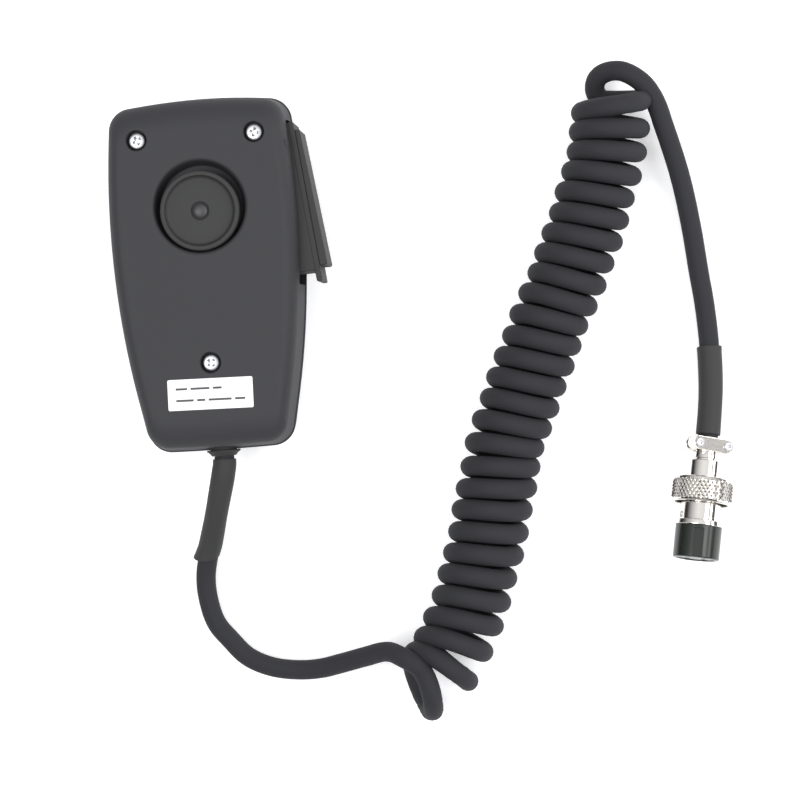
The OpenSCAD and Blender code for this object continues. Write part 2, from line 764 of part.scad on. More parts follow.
// One jaw of the cord clamp: a bar with round ends, lying across the cord
module jaw(y0, y1, len) {
    translate([0, y0, saddle_z + len / 2]) rotate([-90, 0, 0]) {
        for (s = [-1, 1]) translate([s * ear_x, 0, 0]) cylinder(d = len, h = y1 - y0, $fn = 48);
        translate([-ear_x, -len / 2, 0]) cube([2 * ear_x, len, y1 - y0]);
    }
}

module jaw_holes(r) {
    for (s = [-1, 1]) translate([s * ear_x, -jaw_y - 1, saddle_z + saddle_len / 2]) rotate([-90, 0, 0])
        cylinder(r = r, h = 2 * jaw_y + 2, $fn = 32);
}

module plug_rear_shell() {
    color(nickel) at_plug() difference() {
        union() {
            rotate([0, 0, clamp_roll]) difference() {
                jaw(-jaw_y, -jaw_gap, saddle_len);
                jaw_holes(jaw_screw_r);
            }
            translate([0, 0, neck_z - eps]) cylinder(r = neck_r, h = rear_shell_z - neck_z + 0.1);
            translate([0, 0, rear_shell_z]) cylinder(r = rear_shell_r, h = rear_shell_len);
        }
        translate([0, 0, -1]) cylinder(r = cord_r + fit, h = 20);
        translate([0, 0, rear_shell_z + 1.2]) cylinder(r = rear_shell_r - 1, h = 20);
    }
}

module plug_clamp_bar() {
    color(nickel) at_plug() rotate([0, 0, clamp_roll]) difference() {
        jaw(jaw_gap, jaw_y, saddle_len - 0.1);
        jaw_holes(jaw_screw_r + 0.1);
        translate([0, 0, -1]) cylinder(r = cord_r + fit, h = 20);
    }
}

module plug_clamp_screws() {
    color(steel) at_plug() rotate([0, 0, clamp_roll]) for (s = [-1, 1])
        translate([s * ear_x, jaw_y, saddle_z + saddle_len / 2]) rotate([-90, 0, 0])
            cross_screw(2.7, 0.9, 2 * jaw_screw_r, 8, 0.5);
}

module plug_front_shell() {
    color(nickel) at_plug() difference() {
        union() {
            translate([0, 0, front_shell_z]) cylinder(d = shell_d, h = flange_z - front_shell_z);
            translate([0, 0, flange_z]) cylinder(r = flange_r, h = barrel_z - flange_z);
        }
        translate([0, 0, front_shell_z - 1]) cylinder(r = rear_shell_r + fit, h = 20);
        set_screw_shape(0);
    }
}

// Radial grub screw that holds the insulator in the front shell
module set_screw_shape(extra) {
    rotate([0, 0, set_screw_roll]) translate([rear_shell_r - 0.8, 0, set_screw_z]) rotate([0, 90, 0])
        cylinder(r = 0.9 + extra, h = shell_d / 2 - rear_shell_r + 1, $fn = 32);
}

module plug_set_screw() {
    color(steel) at_plug() difference() {
        set_screw_shape(0);
        rotate([0, 0, set_screw_roll]) translate([shell_d / 2 - 0.4, -0.15, set_screw_z - 1])
            cube([1, 0.3, 2]);
    }
}

module at_contacts() {
    for (a = [45 : 90 : 315]) rotate([0, 0, a]) translate([contact_pcd / 2, 0, 0]) children();
}

module plug_insulator() {
    color("#141617") at_plug() difference() {
        union() {
            translate([0, 0, barrel_z]) cylinder(r = barrel_r, h = barrel_len);
            translate([0, 0, barrel_z - 8]) cylinder(r = rear_shell_r, h = 8 + eps);
        }
        at_contacts() {
            translate([0, 0, 5]) cylinder(r = contact_r, h = nose_z - 5.5, $fn = 32);
            cylinder(r = contact_bore + 0.1, h = 60, $fn = 32);
        }
        translate([-key_w / 2, barrel_r - key_depth, barrel_z + 1]) cube([key_w, 2, 20]);
        set_screw_shape(0);
    }
}

module plug_contacts() {
    color(brass) at_plug() at_contacts() difference() {
        union() {
            translate([0, 0, cup_z + 1]) cylinder(r = contact_r - fit, h = nose_z - 1.5 - cup_z, $fn = 32);
            translate([0, 0, cup_z]) cylinder(r = contact_r - 0.3, h = 3, $fn = 32);
        }
        translate([0, 0, nose_z - 8]) cylinder(r = contact_bore, h = 20, $fn = 32);
        translate([0, 0, cup_z - 1]) cylinder(r = 0.5, h = 2.5, $fn = 32);
    }
}

module lock_ring() {
    z1 = ring_z0 + ring_len;
    c = ring_chamfer;
    hole = shell_d / 2 + ring_slack;
    color(nickel) at_plug() rotate_extrude($fn = 96) polygon([[hole, ring_z0], [ring_r - c, ring_z0],
        [ring_r, ring_z0 + c], [ring_r, z1 - c], [ring_r - c, z1], [cavity_r + 0.3, z1],
        [cavity_r, z1 - 0.3], [cavity_r, ring_z0 + ring_lip], [hole, ring_z0 + ring_lip]]);
}

front_shell();
rear_cover();
housing_screws();
hang_button();
hang_button_screw();
rear_label();
grille_cloth();
capsule_boot();
microphone_capsule();
capsule_retainer();
retainer_screws();
ptt_pivot_pin();
ptt_lever();
ptt_grip_plate();
ptt_return_spring();
switch_body();
switch_plunger();
switch_terminals();
switch_screws();
cord_clamp();
cord_clamp_screws();
inner_wires();
cord_gland();
cord_entry();
cord_lead();
handset_sleeve();
cord_curl();
cord_tail();
plug_sleeve();
plug_rear_shell();
plug_clamp_bar();
plug_clamp_screws();
plug_front_shell();
plug_set_screw();
plug_insulator();
plug_contacts();
lock_ring();
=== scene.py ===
"""Hand microphone with a push-to-talk lever, a curly cord and a four-pole screw plug."""

import json
import math
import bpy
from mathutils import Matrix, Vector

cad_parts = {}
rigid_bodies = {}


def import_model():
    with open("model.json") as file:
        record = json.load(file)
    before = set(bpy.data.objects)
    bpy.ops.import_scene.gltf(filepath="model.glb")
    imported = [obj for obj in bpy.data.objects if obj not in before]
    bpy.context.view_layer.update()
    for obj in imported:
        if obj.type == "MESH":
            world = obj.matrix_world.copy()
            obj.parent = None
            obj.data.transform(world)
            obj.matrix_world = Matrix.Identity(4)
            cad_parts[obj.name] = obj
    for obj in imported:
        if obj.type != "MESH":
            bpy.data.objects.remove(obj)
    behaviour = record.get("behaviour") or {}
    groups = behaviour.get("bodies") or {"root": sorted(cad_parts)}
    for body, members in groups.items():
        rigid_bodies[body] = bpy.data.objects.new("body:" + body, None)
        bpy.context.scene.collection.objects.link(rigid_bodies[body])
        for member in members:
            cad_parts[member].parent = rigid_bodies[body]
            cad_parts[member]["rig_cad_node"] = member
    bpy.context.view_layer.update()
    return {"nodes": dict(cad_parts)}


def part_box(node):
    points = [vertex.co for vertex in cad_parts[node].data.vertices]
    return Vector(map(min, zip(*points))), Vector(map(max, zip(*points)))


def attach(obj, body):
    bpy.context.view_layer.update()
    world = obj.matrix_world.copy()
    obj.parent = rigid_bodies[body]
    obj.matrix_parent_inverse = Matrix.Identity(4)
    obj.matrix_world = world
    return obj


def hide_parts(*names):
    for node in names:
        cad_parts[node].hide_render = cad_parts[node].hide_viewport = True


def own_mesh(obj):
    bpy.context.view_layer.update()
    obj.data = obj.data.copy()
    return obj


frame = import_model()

from types import SimpleNamespace

import bmesh
import bpy
from mathutils import Matrix, Vector

bl_info = {
    "name": "Hand Microphone",
    "version": (1, 0, 0),
    "blender": (4, 5, 0),
    "location": "3D View > Sidebar > Hand Mic",
    "description": "Builds a hand microphone with its curly cord and plug",
    "category": "Add Mesh",
}

MM = 0.001

# In millimetres: the cord's route from the gland to the curl, the axis of the curl itself, and the route
# from the curl to the plug.
LEAD_ROUTE = [
    (-3.35, -54.4, 19.5), (-3.35, -56.4, 19.5), (-4, -59.5, 19), (-7, -69.5, 15), (-9.5, -77, 10.5),
    (-12, -84.5, 6.5), (-13.5, -90.5, 4.2), (-13.5, -97, 3.2), (-11.5, -105, 3), (-7.5, -110.5, 3),
    (-2.5, -116, 3), (4.5, -119.5, 3), (12.5, -121, 3), (19.5, -120.9, 4), (26, -119.6, 6.2),
    (33.5, -117.8, 10.2), (41, -116.3, 15), (45.5, -117.9, 18.6),
]
CURL_ROUTE = [
    (44, -127.3, 12), (50.4, -126.3, 12), (54.8, -123.7, 12), (57.8, -120.5, 12), (61.4, -114.8, 12),
    (65, -107, 12), (70, -94, 12), (75, -77, 12), (80, -58, 12), (88, -39, 12), (96, -21, 12),
    (104.5, -4, 12), (111.5, 13, 12), (116.5, 27.5, 12), (119, 40, 12), (119, 44, 12),
]
TAIL_ROUTE = [
    (115.8, 45, 3.5), (114.5, 48, 5.4), (115.7, 50.9, 7.6), (118.7, 52.2, 9.6), (123.2, 51.7, 12),
    (128.6, 48, 12), (132, 42.5, 11), (134.4, 34.5, 9), (138.1, 20, 5), (140.4, 5, 3.5), (141.8, -9.5, 3),
    (142.7, -18, 3.1), (143.2, -26.5, 3.6), (143.3, -32, 4.1), (142.8, -45, 5.4),
]
PLUG_AT = Vector((140.9, -59, 7.33681))
PLUG_YAW = math.radians(-10)
PLUG_PITCH = math.radians(8)
CLAMP_ROLL = math.radians(-25)
PLUG = Matrix.Translation(PLUG_AT) @ Matrix.Rotation(PLUG_YAW, 4, "Z") @ Matrix.Rotation(
    math.radians(90) - PLUG_PITCH, 4, "X")


# ---------------------------------------------------------------- sizes and colours


def size(name, millimetres, description):
    """A length that the sidebar shows."""
    return bpy.props.FloatProperty(
        name=name, description=description, default=millimetres * MM, min=0.0,
        subtype="DISTANCE", unit="LENGTH", precision=5)


def colour(name, value, description):
    """A linear colour that the sidebar shows."""
    return bpy.props.FloatVectorProperty(
        name=name, description=description, default=value, size=3, min=0.0, max=1.0, subtype="COLOR")


class HandMicSizes(bpy.types.PropertyGroup):
    body_len: size("Body length", 105, "Length of the housing, cord end to head")
    body_w: size("Body width", 58, "Width of the housing at its widest place")
    seam_z: size("Seam height", 19.5, "Height of the seam between the two shells")
    rear_z: size("Body depth", 36, "Height of the flat rear face")
    wall: size("Wall", 2, "Thickness of the moulded walls")
    corner_r: size("Corner radius", 7, "Corner radius of the outline")
    side_bow: size("Side bow", 265, "Radius of the bowed long sides")
    widest_y: size("Widest place", 14.5, "Distance of the widest place from the middle")
    side_round: size("Side rounding", 5.3, "Inset of the rear face from the long sides")
    end_round: size("End rounding", 10.5, "Inset of the rear face from the two ends")
    round_h: size("Rounding height", 7, "Height over which the rear cover is rounded")
    edge_r: size("Edge radius", 0.3, "Small radius along the seam")
    recess_r: size("Recess radius", 13.9, "Radius of the recess around the hang button")
    button_r: size("Button radius", 11.75, "Radius of the hang button")
    well_r: size("Well radius", 3.05, "Radius of the screw wells")
    screw_r: size("Screw radius", 2.45, "Head radius of the housing screws")
    lever_w: size("Lever width", 17, "Width of the lever across the seam")
    plate_t: size("Plate", 1.7, "Thickness of the lever's outer plate")
    cord_r: size("Cord radius", 3, "Radius of the cord")
    curl_r: size("Curl radius", 9, "Radius of the curl at the middle of the cord")
    ring_r: size("Ring radius", 9.25, "Radius of the knurled ring")
    barrel_r: size("Barrel radius", 6.9, "Radius of the plug's insulating barrel")


class HandMicColours(bpy.types.PropertyGroup):
    housing: colour("Housing", (0.0085, 0.0085, 0.009), "Moulded housing")
    cord: colour("Cord", (0.0042, 0.0038, 0.0042), "Cord jacket")
    nickel: colour("Nickel", (0.86, 0.815, 0.76), "Nickel-plated plug shells")
    label: colour("Label", (0.90, 0.90, 0.91), "Rear label")
    floor: colour("Floor", (0.93, 0.93, 0.94), "Floor under the object")


def sizes(context):
    """The sizes in millimetres."""
    group = context.scene.hand_mic_sizes
    return SimpleNamespace(**{k: getattr(group, k) / MM for k in HandMicSizes.__annotations__})


# ---------------------------------------------------------------- modelling steps, in millimetres


def clear_selection():
    if bpy.context.object and bpy.context.object.mode != "OBJECT":
        bpy.ops.object.mode_set(mode="OBJECT")
    bpy.ops.object.select_all(action="DESELECT")


def only(*objs):
    """Leaves just these objects selected, the first one active."""
    clear_selection()
    for o in objs:
        o.select_set(True)
    bpy.context.view_layer.objects.active = objs[0]
    return objs[0]


def tidy_mesh(o, gap=0.002):
    """Merges doubles and turns the faces outwards, then leaves edit mode."""
    bpy.ops.object.mode_set(mode="EDIT")
    bpy.ops.mesh.select_all(action="SELECT")
    bpy.ops.mesh.remove_doubles(threshold=gap)
    bpy.ops.mesh.normals_make_consistent(inside=False)
    bpy.ops.object.mode_set(mode="OBJECT")
    return o


def put_ring(o, ring):
    """Moves the selected vertices to the points of a ring, each by the place that it was given."""
    mesh = bmesh.from_edit_mesh(o.data)
    place = mesh.verts.layers.int["place"]
    for v in mesh.verts:
        if v.select:
            v.co = ring[v[place]]
    bmesh.update_edit_mesh(o.data)


def start_ring(name, ring):
    """A circle primitive with one vertex for each point of the ring, in edit mode."""
    clear_selection()
    bpy.ops.mesh.primitive_circle_add(vertices=len(ring), radius=1)
    o = bpy.context.object
    o.name = name
    bpy.ops.object.mode_set(mode="EDIT")
    mesh = bmesh.from_edit_mesh(o.data)
    place = mesh.verts.layers.int.new("place")
    for k, v in enumerate(mesh.verts):
        v[place] = k
    bmesh.update_edit_mesh(o.data)
    put_ring(o, ring)
    return o


def lofted(name, rings, caps=True):
    """A skin through rings of points: the first ring is extruded to each of the others."""
    o = start_ring(name, rings[0])
    for ring in rings[1:]:
        bpy.ops.mesh.extrude_region_move()
        put_ring(o, ring)
    if caps:
        bpy.ops.mesh.edge_face_add()
        bpy.ops.mesh.select_all(action="DESELECT")
        mesh = bmesh.from_edit_mesh(o.data)
        mesh.verts.ensure_lookup_table()
        for k in range(len(rings[0])):
            mesh.verts[k].select_set(True)
        mesh.select_flush(True)
        bmesh.update_edit_mesh(o.data)
        bpy.ops.mesh.edge_face_add()
    bpy.ops.object.mode_set(mode="OBJECT")
    o.data.attributes.remove(o.data.attributes["place"])
    return tidy_mesh(o)


def prism(name, plan, z0, z1):
    """A plan of (x, y) points, filled and extruded from z0 to z1."""
    o = start_ring(name, [Vector((x, y, z0)) for x, y in plan])
    bpy.ops.mesh.edge_face_add()
    bpy.ops.mesh.extrude_region_move(TRANSFORM_OT_translate={"value": (0, 0, z1 - z0)})
    bpy.ops.object.mode_set(mode="OBJECT")
    o.data.attributes.remove(o.data.attributes["place"])
    return tidy_mesh(o)


def turned(name, profile, steps=96):
    """A round piece: a profile of (radius, height) points is extruded point by point and spun about Z."""
    clear_selection()
    bpy.ops.mesh.primitive_plane_add(size=1, location=(profile[0][0], 0, profile[0][1]))
    o = bpy.context.object
    o.name = name
    bpy.ops.object.transform_apply(location=True, rotation=False, scale=False)
    bpy.ops.object.mode_set(mode="EDIT")
    bpy.ops.mesh.merge(type="CENTER")
    for (r0, h0), (r1, h1) in zip(profile, profile[1:]):
        bpy.ops.mesh.extrude_vertices_move(TRANSFORM_OT_translate={"value": (r1 - r0, 0, h1 - h0)})
    bpy.ops.mesh.select_all(action="SELECT")
    bpy.ops.mesh.spin(steps=steps, angle=math.tau, center=(0, 0, 0), axis=(0, 0, 1))
    bpy.ops.object.mode_set(mode="OBJECT")
    return tidy_mesh(o)


def rod(name, r, z0, z1, steps):
    """A plain round rod along Z."""
    return turned(name, [(0, z0), (r, z0), (r, z1), (0, z1)], steps)


def arc(cr, ch, r, a0, a1, steps=5):
    """Profile points on an arc around (cr, ch), from angle a0 to a1 in degrees."""
    turns = [math.radians(a0 + (a1 - a0) * k / steps) for k in range(steps + 1)]
    return [(cr + r * math.cos(t), ch + r * math.sin(t)) for t in turns]


def shift(o, place):
    """Moves a piece in its mesh."""
    o.matrix_world = place
    only(o)
    bpy.ops.object.transform_apply(location=True, rotation=True, scale=True)
    return o


def moved(o, x, y, z=0):
    return shift(o, Matrix.Translation((x, y, z)))


def copy_of(o, place, name):
    """A copy with its own mesh, moved to a place."""
    only(o)
    bpy.ops.object.duplicate(linked=False)
    made = bpy.context.object
    made.name = name
    return shift(made, place)


def joined(objs):
    only(*objs)
    bpy.ops.object.join()
    return objs[0]


def modified(o, kind, **values):
    """Adds a modifier, sets it and applies it."""
    only(o)
    bpy.ops.object.modifier_add(type=kind)
    m = o.modifiers[-1]
    for k, v in values.items():
        setattr(m, k, v)
    bpy.ops.object.modifier_apply(modifier=m.name)
    return o


def combined(o, tool, how):
    """Joins a tool to a piece, or cuts it away, and removes the tool."""
    modified(o, "BOOLEAN", operation=how, solver="EXACT", object=tool)
    bpy.data.objects.remove(tool)
    return o


def cut(o, tool):
    return combined(o, tool, "DIFFERENCE")


def fused(o, tool):
    return combined(o, tool, "UNION")


def bevelled(o, width, segments=3, angle=35):
    return modified(o, "BEVEL", width=width, segments=segments, limit_method="ANGLE",
        angle_limit=math.radians(angle), harden_normals=False)


def block(name, lo, hi, width=0.0):
    """A box between two corners, with rounded edges."""
    o = prism(name, [(lo[0], lo[1]), (hi[0], lo[1]), (hi[0], hi[1]), (lo[0], hi[1])], lo[2], hi[2])
    return bevelled(o, width) if width else o


def finished(o, name, slot, body, replaces=(), place=None, angle=32):
    """Smooths a piece, brings it to metres and its place, and gives it its body, finish and material."""
    o.name = name
    o.data.name = name
    shift(o, Matrix.Scale(MM, 4) @ (place or Matrix.Identity(4)))
    bpy.ops.object.shade_smooth_by_angle(angle=math.radians(angle))
    modified(o, "WEIGHTED_NORMAL", keep_sharp=True, mode="FACE_AREA")
    dress(o, slot)
    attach(o, body)
    if replaces:
        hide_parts(*replaces)
    return o


def dress(o, slot):
    """Gives a piece the material of one of the record's slots."""
    o.data.materials.clear()
    o.data.materials.append(FINISHES[slot](slot))


# ---------------------------------------------------------------- materials


def node(tree, kind, inputs=None, **settings):
    n = tree.nodes.new("ShaderNode" + kind)
    for k, v in settings.items():
        setattr(n, k, v)
    for k, v in (inputs or {}).items():
        if isinstance(v, bpy.types.NodeSocket):
            tree.links.new(v, n.inputs[k])
        else:
            n.inputs[k].default_value = v
    return n


def noise(tree, scale, detail=4.0, rough=0.55):
    """Noise in the piece's own space; scale is in features per metre."""
    where = tree.nodes.get("Where") or node(tree, "TexCoord", name="Where")
    made = node(tree, "TexNoise", {
        "Vector": where.outputs["Object"], "Scale": scale, "Detail": detail, "Roughness": rough})
    return made.outputs["Fac"]


def spread_to(tree, value, low, high):
    """Maps the middle of a noise to a range."""
    return node(tree, "MapRange", {
        "Value": value, "From Min": 0.3, "From Max": 0.7, "To Min": low, "To Max": high}).outputs["Result"]


def two_tone(tree, value, dark, light):
    return node(tree, "Mix", {
        0: value, 6: (*dark, 1), 7: (*light, 1)}, data_type="RGBA").outputs[2]


def shaded(rgb, k):
    return tuple(min(1.0, c * k) for c in rgb)


def surface(
        name, rgb, rough, grain, bump, metal=0.0, patches=60, swing=0.12, depth=0.00002, **sockets):
    """A finish with patches of slightly different colour and gloss, and a grain felt in its bump."""
    found = bpy.data.materials.get(name)
    if found:
        return found
    m = bpy.data.materials.new(name)
    m.use_nodes = True
    tree = m.node_tree
    shader = tree.nodes["Principled BSDF"]
    mottle = spread_to(tree, noise(tree, patches, 5.0), 0.0, 1.0)
    tree.links.new(two_tone(tree, mottle, shaded(rgb, 1 - swing), shaded(rgb, 1 + swing)),
        shader.inputs["Base Color"])
    fine = noise(tree, grain, 3.0)
    gloss = node(tree, "Math", {
        0: spread_to(tree, noise(tree, patches * 4, 5.0), rough * 0.88, rough * 1.12),
        1: spread_to(tree, fine, -0.02, 0.02)}, operation="ADD").outputs[0]
    tree.links.new(gloss, shader.inputs["Roughness"])
    relief = node(tree, "Bump", {"Strength": bump, "Distance": depth, "Height": fine})
    tree.links.new(relief.outputs["Normal"], shader.inputs["Normal"])
    shader.inputs["Metallic"].default_value = metal
    for k, v in sockets.items():
        shader.inputs[k.replace("_", " ")].default_value = v
    return m


def palette():
    return bpy.context.scene.hand_mic_colours


FINISHES = {
    "housing_plastic": lambda n: surface(n, palette().housing, 0.26, 2600, 0.22, patches=38, swing=0.16,
        Specular_IOR_Level=0.4),
    "button_plastic": lambda n: surface(n, shaded(palette().housing, 0.95), 0.27, 3200, 0.18, patches=70,
        Specular_IOR_Level=0.4),
    # The lever takes the housing's colour darkened to 0.35: painted shade for the shade on the lever at the
    # side of the housing, not a darker plastic.
    "lever_plastic": lambda n: surface(n, shaded(palette().housing, 0.35), 0.22, 2400, 0.25, patches=80,
        Specular_IOR_Level=0.3, IOR=1.22),
    "bright_nickel": lambda n: surface(n, palette().nickel, 0.25, 900, 0.10, metal=1.0, patches=140,
        swing=0.06),
    "dark_screw": lambda n: surface(n, (0.002, 0.002, 0.0025), 0.07, 1800, 0.06, patches=200,
        Specular_IOR_Level=0.1),
    "label_paper": lambda n: surface(n, palette().label, 0.48, 5200, 0.25, patches=220, swing=0.02),
    "grille_felt": lambda n: surface(n, (0.020, 0.020, 0.021), 0.92, 5200, 0.9, depth=0.0001,
        patches=500, swing=0.35, Sheen_Weight=0.35),
    "soft_rubber": lambda n: surface(n, (0.018, 0.018, 0.019), 0.52, 3000, 0.3, patches=120),
    "bright_steel": lambda n: surface(n, (0.80, 0.78, 0.75), 0.22, 1500, 0.12, metal=1.0, patches=260,
        swing=0.05),
    "switch_plastic": lambda n: surface(n, (0.045, 0.050, 0.058), 0.42, 2600, 0.25),
    "plunger_plastic": lambda n: surface(n, (0.78, 0.76, 0.70), 0.35, 2600, 0.2, swing=0.04),
    "contact_brass": lambda n: surface(n, (0.72, 0.52, 0.24), 0.24, 1500, 0.12, metal=1.0, patches=300),
    "wire_pvc": lambda n: surface(n, (0.36, 0.045, 0.035), 0.40, 2600, 0.2),
    "cord_jacket": lambda n: surface(n, palette().cord, 0.36, 2200, 0.20, patches=90, swing=0.2,
        Specular_IOR_Level=0.3, IOR=1.22),
    "shrink_tube": lambda n: surface(n, shaded(palette().cord, 1.15), 0.32, 1500, 0.25, patches=110,
        swing=0.2, Specular_IOR_Level=0.35, IOR=1.22),
    "barrel_resin": lambda n: surface(n, (0.006, 0.009, 0.008), 0.07, 900, 0.05, patches=80,
        Coat_Weight=0.6),
}


# ---------------------------------------------------------------- outline of the housing


def half_width(s, y):
    """Half the width of the housing at a distance y from its middle."""
    return s.body_w / 2 - s.side_bow + math.sqrt(s.side_bow ** 2 - (y - s.widest_y) ** 2)


def end_line(s, end, b, x):
    """The crowned head edge (end = 1) or cord edge (end = -1), inset by b."""
    crown = 2.5 if end > 0 else 0.6
    return end * (s.body_len / 2 - b - crown * (x / (s.body_w / 2)) ** 2)


def outline(s, a, b, z, ends=6, arcs=10, sides=20):
    """Ring of points around the housing at height z, inset by a at the sides and b at the ends."""
    r = max(s.corner_r - 0.3 * a, 2)
    corners = []
    for end in (-1, 1):
        x0 = s.body_w / 2 - a - r - (1.5 if end > 0 else 7)
        y = end_line(s, end, b, x0) - end * r
        lean = math.degrees(math.asin((y - s.widest_y) / s.side_bow))
        corners.append((half_width(s, y) - a - r, y, lean))
    (x0, y0, low), (x1, y1, high) = corners
    right = [(x0 * k / ends, end_line(s, -1, b, x0 * k / ends)) for k in range(ends)]
    right += arc(x0, y0, r, -88, low, arcs)
    right += [(half_width(s, y0 + (y1 - y0) * k / sides) - a, y0 + (y1 - y0) * k / sides)
        for k in range(1, sides)]
    right += arc(x1, y1, r, high, 83, arcs)
    right += [(x1 * k / ends, end_line(s, 1, b, x1 * k / ends)) for k in range(ends - 1, -1, -1)]
    left = [(-x, y) for x, y in right[-2:0:-1]]
    return [Vector((x, y, z)) for x, y in right + left]


def quarter(steps=12):
    """(1 - cos, sin) of even steps over a quarter turn."""
    turns = [math.pi / 2 * k / steps for k in range(steps + 1)]
    return [(1 - math.cos(t), math.sin(t)) for t in turns]


DRAFT = 1.2
SEAM_STEP = 0.4
FRONT_ROUND = (5.0, 7.0, 8.0)  # inset at the sides, inset at the ends, height
FRONT_FLOOR = 2.2
ORIGIN_X = -3.35
HOUSING = Matrix.Translation((ORIGIN_X, 0, 0))
SCREW_PLACES = [(-17.4, 40, 28), (17.4, 40, -17), (0, -26.7, 41)]  # x, y and the turn of its cross
WELL_FLOOR = 32.5
RECESS_Y = 19.3
RECESS_FLOOR = 30
BUTTON_Y = 18
PIVOT = (24.2, 36)
PIVOT_EYE_R = 2.4
CAPSULE_Y = 20
RETAINER_REACH = 17.2  # from the middle of the capsule to each post of its retaining bar
GRILLE_R, GRILLE_PITCH = 12, 3.2
CORD_BORE_R = 3.12


def slot_cutter():
    """Opening in the right-hand wall for the lever."""
    return block("slot", (21, -5.3, 10.6), (45, 43.6, 28.4), 0.5)


def gland_cutter():
    o = turned("gland_hole", [(0, 0), (4.05, 0), (4.05, 6), (0, 6), (0, 0)], 48)
    return shift(o, Matrix.Translation((0, -53.5, 19.5)) @ Matrix.Rotation(math.radians(-90), 4, "X"))


def support_rings(s, a, b, z):
    """Two rings that run the flat face on past the end of its rounding."""
    return [outline(s, a + 0.6, b + 0.6, z), outline(s, a + 2.2, b + 2.2, z)]


class HANDMIC_OT_front_shell(bpy.types.Operator):
    """Moulded front shell with its grille, screw bosses and capsule seat"""

    bl_idname = "hand_mic.front_shell"
    bl_label = "Front shell"

    def execute(self, context):
        s = sizes(context)
        side, end, height = FRONT_ROUND
        outer = [outline(s, s.edge_r * (1 - k), s.edge_r * (1 - k), s.seam_z - s.edge_r * (1 - h))
            for k, h in [(h, 1 - k) for k, h in quarter(3)]]
        outer += [outline(s, DRAFT + (side - DRAFT) * k, DRAFT + (end - DRAFT) * k, height * (1 - h))
            for k, h in quarter()]
        outer += support_rings(s, side, end, 0)
        w = s.wall
        inner = [outline(s, w, w, s.seam_z)]
        inner += [outline(s, DRAFT + w + (side - DRAFT) * k, DRAFT + w + (end - DRAFT) * k,
            height - (height - FRONT_FLOOR) * h) for k, h in quarter(6)]
        o = lofted("front_shell_mould", inner[::-1] + outer)
        for x, y, _ in SCREW_PLACES:
            fused(o, moved(rod("boss", 3.6, 1, 30.2, 40), x, y))
        seat = [(14.1, 1), (15.3, 1), (15.3, 6.8), (14.1, 6.8), (14.1, 1)]
        fused(o, moved(turned("seat", seat, 72), 0, CAPSULE_Y))
        for y in (CAPSULE_Y - RETAINER_REACH, CAPSULE_Y + RETAINER_REACH):
            fused(o, moved(rod("post", 2.4, 1.2, 14, 32), 0, y))
        fused(o, moved(rod("pivot", PIVOT_EYE_R, 5.3, 10.7, 32), *PIVOT))
        fused(o, block("cradle", (-5, -42, 1), (5, -38, 18)))
        dish = [(0, 0.8), (16.6, 0.8), (16.9, 0.65), (17, 0.4), (17.12, 0.15), (17.5, -0.02), (17.5, -1),
            (0, -1)]
        cut(o, moved(turned("dish", dish, 128), 0, CAPSULE_Y))
        for k in range(-3, 4):
            y = k * GRILLE_PITCH
            cut(o, slotted("grille", 0, CAPSULE_Y + y, math.sqrt(GRILLE_R ** 2 - y ** 2), 0.8))
        for x, y, _ in SCREW_PLACES:
            cut(o, moved(rod("hole", 1.35, 19.5, 31, 24), x, y))
        cut(o, slot_cutter())
        cut(o, gland_cutter())
        finished(o, "front_shell_moulding", "housing_plastic", "root", ["front_shell"], HOUSING)
        return {"FINISHED"}


def slotted(name, x, y, half, r):
    """A cutter for a grille slot with round ends and a softened rim on the outer face."""
    right = arc(x + half - r, y, r, -90, 90, 8)
    left = arc(x - half + r, y, r, 90, 270, 8)
    plan = right + left

    def ring(z, grow):
        return [Vector((px + math.copysign(grow, px - x), y + (py - y) * (1 + grow / r), z))
            for px, py in plan]

    return lofted(name, [ring(0.2, 0.25), ring(0.8, 0.22), ring(0.9, 0.08), ring(1.1, 0), ring(4, 0)])


